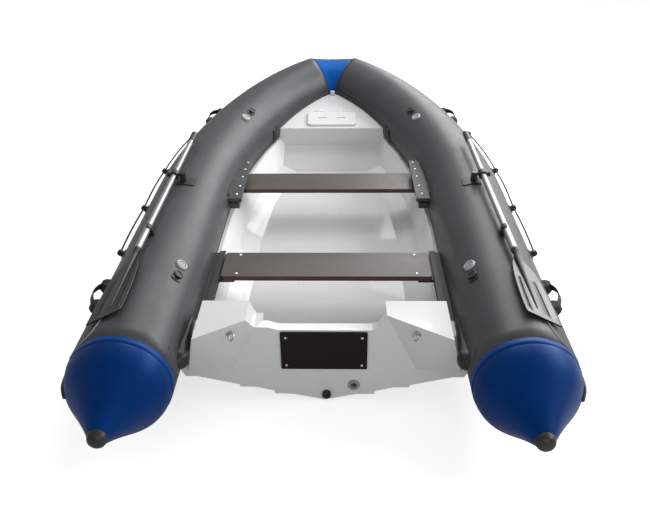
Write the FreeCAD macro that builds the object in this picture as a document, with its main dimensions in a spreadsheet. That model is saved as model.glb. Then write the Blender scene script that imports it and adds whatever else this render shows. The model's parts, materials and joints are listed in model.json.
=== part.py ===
"""Rigid-hulled inflatable boat, 3.6 m class: grey tubes on a white moulded hull, with two thwarts, a bow
locker and a pair of stowed oars. Millimetres. +X starboard, +Y towards the bow, +Z up. The origin is on the
centreline, in the plane of the water, near the middle of the boat's length."""

import FreeCAD, Part
import math
import os

V = FreeCAD.Vector
Rotation = FreeCAD.Rotation
Placement = FreeCAD.Placement

UP = V(0, 0, 1)
SIDES = (("port", -1), ("starboard", 1))

SIZES = {
    # side tubes, measured on their centre lines
    "tube_radius": 190,
    "tube_height": 220,
    "tube_offset": 714,
    "tube_taper": 10,
    "seam_y": -1450,
    "straight_end": -74,
    "curve_lead": 590,
    "bow_half": 97,
    "bow_axis_y": 1620,
    "bow_lead": 560,
    "bow_angle": 42,
    "bow_rise": 88,
    # stern cones
    "cone_length": 293,
    "cone_shoulder": 124,
    "cone_waist": 97,
    "cone_waist_radius": 143,
    "cap_radius": 33,
    "cap_length": 26,
    "cap_taper": 7,
    "cap_round": 16,
    # clearances
    "skin_gap": 0.3,
    "band_gap": 0.6,
    # hull
    "keel_depth": 110,
    "chine_drop": 211,
    "chine_inset": 157,
    "flange_drop": 80,
    "flange_inset": 195,
    "forefoot_y": 600,
    "stem_y": 1570,
    "stem_drop": 215,
    "liner_wall": 6,
    "hull_joint_level": 24,
    "floor_level": 0,
    "knuckle_height": 30,
    "knuckle_inset": 50,
    "floor_inset": 150,
    "bilge_depth": 70,
    # transom
    "transom_aft": -1185,
    "transom_depth": 45,
    "cutout_half": 178,
    "cutout_level": 239,
    "wing_inner": 240,
    "wing_inner_port": 294,
    "wing_outer": 475,
    "wing_side_slope": 17,
    "wing_side_level": 215,
    "wing_side_reach": 60,
    "ledge_level": 252,
    "ledge_outer": 267,
    "ledge_inner": 214,
    "wing_level": 310,
    "wing_aft_reach": 153,
    "wing_front_depth": 96,
    "wing_fold_x": 432,
    "wing_foot_level": 50,
    "wing_foot_inner": 362,
    "wing_foot_outer": 530,
    "wing_foot_reach": 40,
    "wing_foot_rise": 22,
    "gasket_angle": -91,
    "gasket_half": 22,
    "gasket_height": 12,
    # motor pads
    "pad_half": 169,
    "pad_top": 232,
    "pad_height": 178,
    "pad_depth": 8,
    "pad_corner": 6,
    # drain
    "plug_x": 8,
    "plug_level": -76,
    "plug_radius": 18,
    "drain_x": 117,
    "drain_level": -31,
    "drain_radius": 24,
    "drain_flange": 5,
    "drain_bore": 13,
    "drain_wall": 2.5,
    "plug_height": 15,
    "plug_flute": 5,
    # thwarts
    "thwart_depth": 205,
    "thwart_end_gap": 40,
    "thwart_board": 22,
    "thwart_corner": 12,
    "thwart_edge": 3,
    "thwart_level": 221,
    "rear_thwart_y": -773,
    "front_thwart_y": 96,
    # bow locker
    "locker_face_y": 935,
    "locker_level": 243,
    "locker_slope": 0.12,
    "locker_crease_level": 120,
    "locker_crease_y": 967,
    "locker_foot_y": 812,
    "locker_wall": 6,
    "hatch_half": 155,
    "hatch_depth": 178,
    "hatch_aft_y": 962,
    "hatch_board": 14,
    "hatch_overlap": 8,
    "hatch_corner": 28,
    "hatch_edge": 4,
    "recess_x": 58,
    "recess_half": 22,
    "recess_width": 14,
    "recess_depth": 5,
    "hinge_x": 90,
    "hinge_knuckle": 30,
    "hinge_radius": 6,
    "hinge_pin": 2.5,
    "hinge_lug": 10,
    # oars and rowlocks
    "rowlock_y": -207,
    "oar_offset": 40,
    "oar_lift": 36,
    "oar_spread": 1.3,
    "oar_fall": 1.3,
    "shaft_radius": 14,
    "sleeve_radius": 15.5,
    "oar_fore": 400,
    "oar_aft": 690,
    "sleeve_fore": 505,
    "grip_length": 105,
    "grip_radius": 17,
    "blade_half": 64,
    "blade_start": 735,
    "blade_end": 1160,
    "blade_skew": 70,
    "blade_board": 5,
    "blade_tilt": 22,
    "ridge_radius": 11,
    "pin_radius": 6,
    "collar_radius": 22,
    "collar_length": 34,
    "swivel_radius": 8,
    "socket_radius": 17,
    "socket_height": 20,
    "rowlock_pad_half": 40,
    "rowlock_pad_inboard": 58,
    "rowlock_pad_outboard": 34,
    "rowlock_pad_height": 5,
    "swivel_head": 15,
    "clip_along": 505,
    "clip_width": 26,
    "clip_wall": 4,
    "clip_clearance": 1.2,
    # fittings on the tubes
    "strake_half": 30,
    "strake_height": 14,
    "strake_start": -1515,
    "strake_joint": 0.5,
    "seam_strip_half": 16,
    "seam_strip_height": 3,
    "seam_strip_low": -108.5,
    "seam_strip_end": 84,
    "corner_flap_half": 48,
    "corner_flap_height": 6,
    "corner_flap_angle": -99,
    "corner_flap_aft": 34,
    "corner_flap_fore": 12,
    "valve_radius": 26,
    "valve_height": 8,
    "rear_valve_y": -912,
    "rear_valve_angle": -41,
    "front_valve_y": 725,
    "front_valve_angle": -30,
    "tie_pad_radius": 24,
    "tie_pad_height": 3,
    "tie_ring_radius": 17,
    "tie_ring_wire": 3,
    "rear_tie_y": -1005,
    "front_tie_y": 807,
    "line_angle": 62,
    "line_radius": 4,
    "line_lift": 16,
    "eyelet_clearance": 1.6,
    "eyelet_radius": 13,
    "eyelet_pad": 22,
    "eyelet_pad_height": 3,
    "eyelet_width": 14,
    "handle_span": 190,
    "handle_rise": 42,
    "handle_strap": 5,
    "handle_width": 32,
    "front_handle_y": 820,
    "rear_handle_y": -1075,
    # seat fittings
    "rail_width": 28,
    "rail_height": 26,
    "rail_length": 551,
    "rail_gap": 9,
    "rail_top": 205,
    "rail_groove": 12,
    "rail_groove_depth": 14,
    "rail_web": 8,
    "bracket_length": 500,
    "bracket_width": 64,
    "bracket_board": 5,
    "foot_length": 67,
    "foot_height": 16,
    "foot_inset": 12,
    "foot_tongue": 8,
    "foot_bolt": 4,
    "foot_bolt_drop": 26,
    # towing eyes
    "eye_x": 354,
    "eye_level": 272,
    "eye_wire": 3.5,
    "eye_radius": 13,
    "eye_base": 14,
    "eye_shank": 8,
    "bow_eye_y": 1330,
    "bow_eye_wire": 5,
    "bow_eye_half": 27,
    "bow_eye_drop": 34,
}

doc = FreeCAD.newDocument("inflatable_boat")
sheet = doc.addObject("Spreadsheet::Sheet", "Sizes")
for row, (alias, value) in enumerate(SIZES.items(), 1):
    sheet.set(f"A{row}", alias)
    sheet.set(f"B{row}", str(value))
    sheet.setAlias(f"B{row}", alias)
doc.recompute()


def size(alias):
    """A size as it stands in the sheet."""
    return float(sheet.get(alias))


parts = []


def keep(feature, label):
    """Lists a document object as a sub-part under its own label."""
    feature.Label = label
    parts.append(feature)
    return feature


def shaped(label, shape, placement=None):
    """A sub-part whose shape is worked out here from the sheet."""
    feature = doc.addObject("Part::Feature", label)
    feature.Shape = shape
    if placement is not None:
        feature.Placement = placement
    return keep(feature, label)


def mirror_image(label, starboard):
    """The same piece on the port side."""
    port = doc.addObject("Part::Mirroring", f"{label}_port")
    port.Source = starboard
    port.Base = V(0, 0, 0)
    port.Normal = V(1, 0, 0)
    return port


def paired(label, shape, placement=None):
    """A starboard sub-part and its mirror image to port, as two sub-parts."""
    starboard = shaped(f"{label}_starboard", shape, placement)
    keep(mirror_image(label, starboard), f"{label}_port")


def on_both_sides(label, shape):
    """One sub-part made of a starboard piece and its mirror image."""
    starboard = doc.addObject("Part::Feature", f"{label}_starboard")
    starboard.Shape = shape
    both = doc.addObject("Part::Compound", label)
    both.Links = [starboard, mirror_image(label, starboard)]
    keep(both, label)


# Centre line of a side tube

R = size("tube_radius")
AXIS_Z = size("tube_height")
SEAM_Y = size("seam_y")
STRAIGHT_END = size("straight_end")
BOW_Y = size("bow_axis_y")
BOW_ANGLE = math.radians(size("bow_angle"))


def plan_points():
    """The four control points, in plan, of the curved run from the straight tube to the bow corner."""
    x_end = size("tube_offset") - size("tube_taper")
    run = V(-size("tube_taper"), STRAIGHT_END - SEAM_Y, 0).normalize()
    start = V(x_end, STRAIGHT_END, 0)
    corner = V(size("bow_half"), BOW_Y, 0)
    inward = V(-math.cos(BOW_ANGLE), math.sin(BOW_ANGLE), 0)
    return start, start + run * size("curve_lead"), corner - inward * size("bow_lead"), corner


PLAN = plan_points()


def plan_at(t):
    a, b, c, d = PLAN
    return a * (1 - t) ** 3 + b * (3 * t * (1 - t) ** 2) + c * (3 * t * t * (1 - t)) + d * t ** 3


def rise_at(y):
    """How far the sheer has lifted the centre line at a station."""
    if y <= STRAIGHT_END:
        return 0.0
    return size("bow_rise") * ((y - STRAIGHT_END) / (BOW_Y - STRAIGHT_END)) ** 2


def axis_at(y):
    """The centre point of the starboard tube at a station."""
    if y <= STRAIGHT_END:
        share = (y - SEAM_Y) / (STRAIGHT_END - SEAM_Y)
        return V(size("tube_offset") - size("tube_taper") * share, y, AXIS_Z)
    low, high = 0.0, 1.0
    for _ in range(40):
        middle = (low + high) / 2
        if plan_at(middle).y < y:
            low = middle
        else:
            high = middle
    return V(plan_at(low).x, y, AXIS_Z + rise_at(y))


def run_at(y):
    """The direction of the starboard centre line at a station, towards the bow."""
    step = 1.0
    return (axis_at(min(y + step, BOW_Y)) - axis_at(y - step)).normalize()


def flip(vector, side):
    return V(vector.x * side, vector.y, vector.z)


def skin_frame(side, y, degrees, lift=0.0):
    """A placement on the tube's skin: its Z points out of the tube and its Y along it. The angle is
    measured from the top of the tube, outboard positive."""
    centre = flip(axis_at(y), side)
    along = flip(run_at(y), side)
    outboard = along.cross(UP).normalize() * side
    top = outboard.cross(along) * side
    angle = math.radians(degrees)
    out = top * math.cos(angle) + outboard * math.sin(angle)
    across = along.cross(out)
    matrix = FreeCAD.Matrix(
        across.x, along.x, out.x, 0, across.y, along.y, out.y, 0, across.z, along.z, out.z, 0, 0, 0, 0, 1
    )
    return Placement(centre + out * (R + lift), Placement(matrix).Rotation)


def spine(side, reach):
    """The whole centre line, run on past the bow corner in a straight line."""
    stern = flip(axis_at(SEAM_Y), side)
    knee = flip(axis_at(STRAIGHT_END), side)
    count = 9
    points = [flip(axis_at(plan_at(k / count).y), side) for k in range(1, count)]
    bow = flip(axis_at(BOW_Y), side)
    line = Part.LineSegment(stern, knee)
    curve = Part.BSplineCurve()
    curve.interpolate(
        Points=[knee] + points + [bow], InitialTangent=(knee - stern).normalize(), FinalTangent=bow_run(side)
    )
    edges = [line.toShape(), curve.toShape()]
    if reach > 0:
        edges.append(Part.LineSegment(bow, bow + bow_run(side) * reach).toShape())
    return Part.Wire(edges)


def bow_run(side):
    """The direction of a side tube where it meets the bow section."""
    climb = 2 * size("bow_rise") / (BOW_Y - STRAIGHT_END) * math.sin(BOW_ANGLE)
    return V(-math.cos(BOW_ANGLE) * side, math.sin(BOW_ANGLE), climb).normalize()


def half_space(point, normal, reach=3000):
    """A large block on the far side of a plane."""
    block = Part.makeBox(reach, reach, reach, V(-reach / 2, -reach / 2, 0))
    block.Placement = Placement(point, Rotation(UP, normal))
    return block


def mitre(side):
    """The plane that halves the turn between a side tube and the bow section."""
    return flip(axis_at(BOW_Y), side), (bow_run(side) + V(-side, 0, 0)).normalize()


def tube_solid(side, radius):
    path = spine(side, radius)
    stern = flip(axis_at(SEAM_Y), side)
    ring = Part.Wire([Part.makeCircle(radius, stern, flip(run_at(SEAM_Y), side))])
    swept = path.makePipeShell([ring], True, False)
    return swept.cut(half_space(*mitre(side)))


def bow_solid(radius):
    reach = 3 * radius
    rod = Part.makeCylinder(radius, 2 * reach, V(-reach, BOW_Y, axis_at(BOW_Y).z), V(1, 0, 0))
    for _, side in SIDES:
        point, normal = mitre(side)
        rod = rod.cut(half_space(point, normal * -1))
    return rod


def biggest(shape):
    """The largest solid of a cut shape."""
    return max(shape.Solids, key=lambda solid: solid.Volume)


def buoyancy():
    """The side tubes, the bow section and the cones."""
    for name, side in SIDES:
        shaped(f"tube_{name}", tube_solid(side, R))
        cone(name, side)
    cone_caps()
    shaped("bow_section", bow_solid(R))


def cone(name, side):
    """A stern cone: full radius at the seam, a round shoulder, and a nearly straight taper to the cap."""
    length = size("cone_length")
    tip = size("cap_radius")
    curve = Part.BezierCurve()
    curve.setPoles([
        V(R, 0, 0),
        V(R, 0, size("cone_shoulder")),
        V(size("cone_waist_radius"), 0, size("cone_waist")),
        V(tip, 0, length),
    ])
    profile = Part.Wire([
        Part.makeLine(V(0, 0, 0), V(R, 0, 0)),
        curve.toShape(),
        Part.makeLine(V(tip, 0, length), V(0, 0, length)),
        Part.makeLine(V(0, 0, length), V(0, 0, 0)),
    ])
    solid = Part.Face(profile).revolve(V(0, 0, 0), UP, 360)
    stern = flip(axis_at(SEAM_Y), side)
    aft = flip(run_at(SEAM_Y), side) * -1
    place = Placement(stern, Rotation(UP, aft))
    shaped(f"cone_{name}", solid, place)


def cone_caps():
    """The moulded caps on the tips of the cones."""
    tip = size("cap_radius")
    height = size("cap_length")
    cap = Part.makeCone(tip, tip - size("cap_taper"), height)
    cap = cap.makeFillet(size("cap_round"), [edge for edge in cap.Edges if top_rim(edge, height)])
    aft = run_at(SEAM_Y) * -1
    cap.Placement = Placement(axis_at(SEAM_Y) + aft * size("cone_length"), Rotation(UP, aft))
    on_both_sides("cone_caps", cap)


def top_rim(edge, level):
    return abs(edge.BoundBox.ZMin - level) < 0.01 and edge.BoundBox.ZLength < 0.01


# Hull, liner, transom and locker

SECTION = (
    # how far out, as a share of the half breadth, and how far up from keel to chine
    (0.0, 0.0),
    (0.225, 0.244),
    (0.360, 0.260),
    (0.366, 0.387),
    (0.495, 0.546),
    (0.612, 0.555),
    (0.618, 0.655),
    (0.917, 1.0),
    (1.0, 1.0),
)


def keel_level(y):
    """The keel runs level, then sweeps up to the stem."""
    start = size("forefoot_y")
    stem = size("stem_y")
    rise = AXIS_Z + rise_at(stem) - size("stem_drop") + size("keel_depth")
    if y <= start:
        return -size("keel_depth")
    return -size("keel_depth") + rise * ((y - start) / (stem - start)) ** 2


def half_breadth(y):
    return max(axis_at(y).x - size("chine_inset"), 6.0)


def hull_section(y):
    """Bottom of the hull at a station, from the starboard flange round the keel to the port one."""
    beam = half_breadth(y)
    keel = keel_level(y)
    centre = axis_at(y)
    chine = max(centre.z - size("chine_drop"), keel + 4)
    flange = centre.z - size("flange_drop")
    half = [V(beam * a, y, keel + (chine - keel) * b) for a, b in SECTION]
    half.append(V(beam + 55, y, flange - 30))
    half.append(V(beam + 55, y, flange))
    port = [flip(point, -1) for point in reversed(half[1:])]
    return port + half


def closed_wire(points):
    return Part.makePolygon(points + [points[0]])


HULL_STATIONS = (-650, -74, 350, 700, 980, 1200, 1370, 1480, 1565)


def hull_block():
    front = size("transom_aft") + size("transom_depth")
    wires = [closed_wire(hull_section(y)) for y in (front,) + HULL_STATIONS]
    return Part.makeLoft(wires, True, True)


def cavity_section(y, grow):
    """The cockpit at a station, or the liner's outside where it is grown by the liner's wall."""
    centre = axis_at(y)
    top = centre.z - size("flange_drop")
    wide = max(centre.x - size("flange_inset"), 40.0) + grow
    floor = max(size("floor_level"), keel_level(y) + size("bilge_depth")) - grow
    knuckle = floor + grow + size("knuckle_height")
    inner = max(wide - size("knuckle_inset"), 25.0)
    foot = max(wide - size("floor_inset"), 12.0)
    half = [V(foot, y, floor), V(inner, y, knuckle), V(wide, y, top + grow)]
    return [flip(point, -1) for point in half[::-1]] + half


CAVITY_STATIONS = (-650, -74, 350, 700, 980)


def cavity_block(grow):
    front = size("transom_aft") + size("transom_depth")
    stations = [front] + list(CAVITY_STATIONS) + [1210 + grow]
    wires = [closed_wire(cavity_section(y, grow)) for y in stations]
    return Part.makeLoft(wires, True, True)


clear_tubes = [tube_solid(side, R + size("skin_gap")) for _, side in SIDES]
clear_tubes.append(bow_solid(R + size("skin_gap")))


def off_the_tubes(shape):
    for tube in clear_tubes:
        shape = shape.cut(tube)
    return shape


def hull_pieces():
    liner_outside = cavity_block(size("liner_wall"))
    cavity = cavity_block(0.0)
    hull = biggest(off_the_tubes(hull_block().cut(liner_outside)))
    liner = biggest(off_the_tubes(liner_outside.cut(cavity).common(hull_block())))
    joint = half_space(V(0, 0, size("hull_joint_level")), UP, 4000)
    shaped("hull", biggest(hull.cut(joint)))
    shaped("hull_flanges", biggest(hull.common(joint)))
    shaped("cockpit_liner", liner)
    return hull, liner


def prism(points, direction):
    return Part.Face(closed_wire(points)).extrude(direction)


def block_of(faces):
    shell = Part.Shell([Part.Face(closed_wire(list(face))) for face in faces])
    solid = Part.Solid(shell)
    if solid.Volume < 0:
        solid.reverse()
    return solid


def transom_piece(hull, liner):
    """The transom: a moulded board that fills the hull's section and rises in a shoulder on each side."""
    aft = size("transom_aft")
    depth = size("transom_depth")
    section = [V(point.x, aft, point.z) for point in hull_section(aft)]
    body = prism(section, V(0, depth, 0))
    body = body.fuse(Part.Face(shoulder_outline()).extrude(V(0, depth, 0)))
    for _, side in SIDES:
        body = body.fuse(wing(side))
    body = body.cut(ledge_cut())
    sleeve = size("drain_bore") + size("drain_wall")
    body = body.cut(Part.makeCylinder(sleeve, depth, V(size("drain_x"), aft, size("drain_level")), V(0, 1, 0)))
    body = biggest(off_the_tubes(body).removeSplitter().cut(hull).cut(liner))
    shaped("transom", body)
    return body


def side_points(side, y):
    """The outer side of a shoulder: it leans out from the top, then steps out to the tube."""
    outer = size("wing_outer")
    low = size("wing_side_level")
    reach = outer + size("wing_side_reach")
    half = [V(outer, y, size("wing_level")), V(outer + size("wing_side_slope"), y, low), V(reach, y, low)]
    half.append(V(reach, y, AXIS_Z - size("flange_drop")))
    return [flip(point, side) for point in half]


def shoulder_outline():
    """The upper part of the transom from aft: a motor cut-out with a hollow curve up to starboard."""
    y = size("transom_aft")
    top = size("wing_level")
    level = size("cutout_level")
    cut = size("cutout_half")
    inner = size("wing_inner")
    rise = top - level
    curve = Part.BSplineCurve()
    curve.interpolate([
        V(cut, y, level),
        V(cut + 0.5 * (inner - cut), y, level + 0.16 * rise),
        V(cut + 0.8 * (inner - cut), y, level + 0.5 * rise),
        V(inner, y, top),
    ])
    port = side_points(-1, y)[::-1]
    starboard = side_points(1, y)
    low = Part.makePolygon([V(inner, y, top)] + starboard + port + [V(-inner, y, top), V(-cut, y, level), V(cut, y, level)])
    return Part.Wire(low.Edges + [curve.toShape()])


def ledge_cut():
    """What is left out inboard of the port shoulder, down to a small ledge beside the cut-out."""
    start = size("transom_aft") - size("wing_aft_reach")
    length = size("wing_aft_reach") + size("wing_front_depth")
    high = size("wing_level") + size("wing_side_slope")
    points = [
        V(-size("wing_inner_port"), start, high),
        V(-size("wing_inner_port"), start, size("wing_level")),
        V(-size("ledge_outer"), start, size("ledge_level")),
        V(-size("ledge_inner"), start, size("ledge_level")),
        V(-size("cutout_half"), start, size("cutout_level")),
        V(-size("cutout_half"), start, high),
    ]
    return prism(points, V(0, length, 0))


def wing_corners():
    """The corners of the folded face on the starboard shoulder of the transom."""
    aft = size("transom_aft")
    top = size("wing_level")
    foot = size("wing_foot_level")
    inner = size("wing_inner")
    outer = size("wing_outer")
    reach = size("wing_aft_reach")
    fold_x = size("wing_fold_x")
    root = V(inner, aft, top)
    fold = V(fold_x, aft - reach * (fold_x - inner) / (outer - inner), top)
    foot_in = V(size("wing_foot_inner"), aft, foot)
    tip = V(outer, aft - reach, top)
    tip_low = V(size("wing_foot_outer"), aft - size("wing_foot_reach"), foot + size("wing_foot_rise"))
    return root, fold, foot_in, tip, tip_low


def wing(side):
    """A shoulder of the transom: a flat top that reaches aft and forward, over a folded face."""
    aft = size("transom_aft")
    root, fold, foot_in, tip, tip_low = wing_corners()
    back_top, back_side = side_points(1, aft)[:2]
    back_low = V(tip_low.x + size("wing_side_slope"), aft, foot_in.z)
    faces = (
        (root, fold, foot_in),
        (fold, tip_low, foot_in),
        (fold, tip, tip_low),
        (tip, back_top, back_side),
        (tip, back_side, tip_low),
        (tip_low, back_side, back_low),
        (root, back_top, tip),
        (root, tip, fold),
        (root, foot_in, back_low),
        (root, back_low, back_side),
        (root, back_side, back_top),
        (foot_in, tip_low, back_low),
    )
    pod = block_of([[flip(point, side) for point in face] for face in faces])
    ahead = aft + size("transom_depth")
    low = size("floor_level") + size("knuckle_height")
    edge = side_points(1, ahead)
    section = [V(root.x, ahead, low), V(root.x, ahead, size("wing_level"))] + edge[:3] + [V(edge[2].x, ahead, low)]
    shelf = prism([flip(point, side) for point in section], V(0, size("wing_front_depth") - size("transom_depth"), 0))
    return pod.fuse(shelf)


def gaskets(transom):
    """The rubber between each shoulder of the transom and its tube."""
    start = size("transom_aft") - size("wing_aft_reach")
    end = size("transom_aft") + size("wing_front_depth")
    angle = size("gasket_angle")
    strip = band(spaced(start, end, 4), lambda y: angle, size("gasket_half"), size("gasket_height"), 0.8)
    on_both_sides("transom_gaskets", biggest(strip.cut(transom)))


def locker_pieces(hull, liner):
    wall = size("locker_wall")
    face_y = size("locker_face_y")
    level = size("locker_level")
    slope = size("locker_slope")
    nose = BOW_Y - R + 20
    outside = [
        V(0, size("locker_foot_y"), size("floor_level")),
        V(0, size("locker_crease_y"), size("locker_crease_level")),
        V(0, face_y, level),
        V(0, nose, level + (nose - face_y) * slope),
    ]
    inside = [
        V(0, nose, level + (nose - face_y) * slope - wall),
        V(0, face_y + wall, level - wall),
        V(0, size("locker_crease_y") + wall, size("locker_crease_level")),
        V(0, size("locker_foot_y") + 2 * wall, size("floor_level")),
    ]
    width = 900
    sheet_solid = prism([point - V(width / 2, 0, 0) for point in outside + inside], V(width, 0, 0))
    sheet_solid = off_the_tubes(sheet_solid).cut(hull).cut(liner)
    pieces = [s for s in sheet_solid.Solids if abs(s.CenterOfMass.x) < 20]
    locker = max(pieces, key=lambda s: s.Volume)
    reach = 4 * wall
    locker = biggest(locker.cut(on_deck(hatch_blank(-size("hatch_overlap"), -reach, reach))))
    flap = seam_strips()
    on_both_sides("corner_flaps", biggest(flap.cut(locker)))
    shaped("bow_locker", locker)
    lid, lugs = hatch_pieces()
    shaped("locker_hatch", on_deck(lid))
    shaped("hatch_hinges", on_deck(lugs))


def hatch_blank(grow, low, high):
    """A round-cornered block on the locker's deck, drawn level with its aft edge on the X axis."""
    half = size("hatch_half") + grow
    depth = size("hatch_depth") + 2 * grow
    slab = Part.makeBox(2 * half, depth, high - low, V(-half, -grow, low))
    upright = [edge for edge in slab.Edges if edge.BoundBox.ZLength > high - low - 0.01]
    return slab.makeFillet(size("hatch_corner"), upright)


def on_deck(shape):
    """Lays a level drawing on the slope of the locker's deck, at the hatch."""
    level = size("locker_level") + (size("hatch_aft_y") - size("locker_face_y")) * size("locker_slope")
    tilt = math.degrees(math.atan(size("locker_slope")))
    moved = shape.copy()
    moved.Placement = Placement(V(0, size("hatch_aft_y"), level), Rotation(V(1, 0, 0), tilt))
    return moved


def hatch_pieces():
    """The lid with two finger recesses and its hinge knuckles, and the pinned lugs on the deck."""
    board = size("hatch_board")
    gap = size("skin_gap")
    lid = hatch_blank(0, gap, board)
    lid = lid.makeFillet(size("hatch_edge"), [edge for edge in lid.Edges if edge.BoundBox.ZMin > board - 0.01])
    middle = size("hatch_depth") / 2
    for side in (-1, 1):
        lid = lid.cut(finger_recess(side * size("recess_x"), middle))
    radius = size("hinge_radius")
    knuckle = size("hinge_knuckle")
    pin = size("hinge_pin")
    lug = size("hinge_lug")
    y = size("hatch_depth") + radius + gap
    lugs = []
    for side in (-1, 1):
        x = side * size("hinge_x") - knuckle / 2
        barrel = Part.makeCylinder(radius, knuckle, V(x, y, board), V(1, 0, 0))
        arm = Part.makeBox(knuckle, 3 * radius, radius, V(x, y - 3 * radius, board - radius))
        bore = Part.makeCylinder(pin + gap, knuckle, V(x, y, board), V(1, 0, 0))
        lid = lid.fuse(barrel).fuse(arm).cut(bore)
        lugs.append(hinge_lugs(x, y, knuckle, pin, lug))
    return lid.removeSplitter(), Part.makeCompound(lugs)


def finger_recess(x, y):
    """A long oval hollow in the top of the lid."""
    half = size("recess_half")
    width = size("recess_width")
    low = size("hatch_board") - size("recess_depth")
    slot = Part.makeBox(2 * half, width, 2 * width, V(x - half, y - width / 2, low))
    for end in (-1, 1):
        slot = slot.fuse(Part.makeCylinder(width / 2, 2 * width, V(x + end * half, y, low)))
    return slot


def hinge_lugs(x, y, knuckle, pin, lug):
    """Two lugs on the deck with the pin that the lid's knuckle turns on."""
    board = size("hatch_board")
    gap = size("skin_gap")
    rod = Part.makeCylinder(pin, knuckle + 2 * lug, V(x - lug, y, board), V(1, 0, 0))
    for start in (x - lug, x + knuckle + gap):
        block = Part.makeBox(lug - gap, 1.5 * lug, board - gap, V(start, y - lug / 2, gap))
        round_top = Part.makeCylinder(lug / 2, lug - gap, V(start, y, board), V(1, 0, 0))
        rod = rod.fuse(block).fuse(round_top)
    return rod.removeSplitter()


# Bands that follow the tubes

def on_section(y, radius, degrees):
    """A point of the starboard tube's section at a station."""
    place = skin_frame(1, y, degrees, radius - R)
    return place.Base


def band_wire(y, middle, half_width, height, crown):
    """The section of a band on the tube: an arc on the skin and a flatter crown."""
    base = R + size("band_gap")
    spread = math.degrees(half_width / base)
    edge = spread * crown
    first = on_section(y, base, middle - spread)
    last = on_section(y, base, middle + spread)
    under = Part.Arc(first, on_section(y, base, middle), last).toShape()
    high_last = on_section(y, base + height, middle + edge)
    high_first = on_section(y, base + height, middle - edge)
    over = Part.Arc(high_last, on_section(y, base + height, middle), high_first).toShape()
    return Part.Wire([under, Part.makeLine(last, high_last), over, Part.makeLine(high_first, first)])


def band(stations, angle_at, half_width, height, crown=0.6):
    wires = [band_wire(y, angle_at(y), half_width, height, crown) for y in stations]
    return Part.makeLoft(wires, True, False)


def spaced(first, last, count):
    return [first + (last - first) * k / (count - 1) for k in range(count)]


def strakes():
    """Rubbing strakes along the widest line of the tubes, each with a butt joint where the curve starts."""
    runs = (
        spaced(size("strake_start"), STRAIGHT_END - size("strake_joint"), 10),
        spaced(STRAIGHT_END, BOW_Y - size("cap_length"), 20),
    )
    lengths = [band(run, lambda y: 90.0, size("strake_half"), size("strake_height")) for run in runs]
    on_both_sides("rubbing_strakes", Part.makeCompound(lengths))


def deck_angle(y):
    """The angle on the tube at which the locker's deck meets it."""
    deck = size("locker_level") + (y - size("locker_face_y")) * size("locker_slope")
    return -math.degrees(math.acos((deck - axis_at(y).z) / R))


def seam_strips():
    """Rubber strips between the tubes and the moulding: along the cockpit's edge, then along the deck."""
    half = size("seam_strip_half")
    height = size("seam_strip_height")
    face = size("locker_face_y")
    flap_start = face - size("corner_flap_aft")
    flap_end = face + size("corner_flap_fore")
    joint = size("strake_joint")
    front = size("transom_aft") + size("wing_front_depth") + size("gasket_height")
    low = size("seam_strip_low")
    lift = math.degrees((half + height) / R)
    lower = band(spaced(front, flap_start - joint, 24), lambda y: low, half, height, 0.9)
    upper = band(spaced(flap_end + joint, BOW_Y - size("seam_strip_end"), 14), lambda y: deck_angle(y) + lift,
                 half, height, 0.9)
    on_both_sides("seam_strips", Part.makeCompound([lower, upper]))
    angle = size("corner_flap_angle")
    flap = band(spaced(flap_start, flap_end, 3), lambda y: angle, size("corner_flap_half"),
                size("corner_flap_height"), 0.95)
    return flap


# Fittings on the tubes

def fitted(shape, y, degrees):
    """A shape drawn at the origin, set on the starboard tube and trimmed to its skin."""
    moved = shape.copy()
    moved.Placement = skin_frame(1, y, degrees)
    return moved


def sunk_disc(radius, height, y, degrees):
    """A disc whose underside is hollowed to the tube."""
    depth = R - math.sqrt(R * R - radius * radius) + 1
    disc = Part.makeCylinder(radius, height + depth, V(0, 0, -depth))
    return fitted(disc, y, degrees).cut(local_tube(y, 3 * radius))


def sunk_plate(half, inboard, outboard, height, y):
    """A round-cornered plate across the crest of the tube, hollowed to it."""
    depth = R - math.sqrt(R * R - inboard * inboard) + 1
    plate = Part.makeBox(inboard + outboard, 2 * half, height + depth, V(-inboard, -half, -depth))
    corners = [edge for edge in plate.Edges if edge.BoundBox.ZLength > height + depth - 0.01]
    plate = plate.makeFillet(half / 4, corners)
    outer = Part.makeCylinder(R + height, 4 * half, axis_at(y) - run_at(y) * 2 * half, run_at(y))
    return fitted(plate, y, 0).common(outer).cut(local_tube(y, 4 * half))


def local_tube(y, reach, lift=0.0):
    """A straight stand-in for the tube near a station, for trimming what sits on it."""
    start = axis_at(y) - run_at(y) * reach
    return Part.makeCylinder(R + size("skin_gap") + lift, 2 * reach, start, run_at(y))


def valve(y, degrees):
    body = sunk_disc(size("valve_radius"), size("valve_height") - 3, y, degrees)
    crown = Part.makeCone(size("valve_radius"), size("valve_radius") - 5, 3, V(0, 0, size("valve_height") - 3))
    cap = Part.makeCylinder(size("valve_radius") * 0.5, 3, V(0, 0, size("valve_height")))
    return body.fuse(fitted(crown.fuse(cap), y, degrees)).removeSplitter()


def valves():
    rear = valve(size("rear_valve_y"), size("rear_valve_angle"))
    front = valve(size("front_valve_y"), size("front_valve_angle"))
    on_both_sides("valves", Part.makeCompound([rear, front]))


def tie_ring(y, degrees):
    """A pad with a ring that stands in a small lug."""
    pad = sunk_disc(size("tie_pad_radius"), size("tie_pad_height"), y, degrees)
    wire = size("tie_ring_wire")
    radius = size("tie_ring_radius")
    top = size("tie_pad_height")
    ring = Part.makeTorus(radius, wire, V(0, radius, top + wire + 1), V(0, 0, 1))
    lug = Part.makeBox(6 * wire, 4 * wire, 3 * wire + 2, V(-3 * wire, -2 * wire, top - 1))
    return pad.fuse(fitted(lug.fuse(ring), y, degrees))


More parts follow.
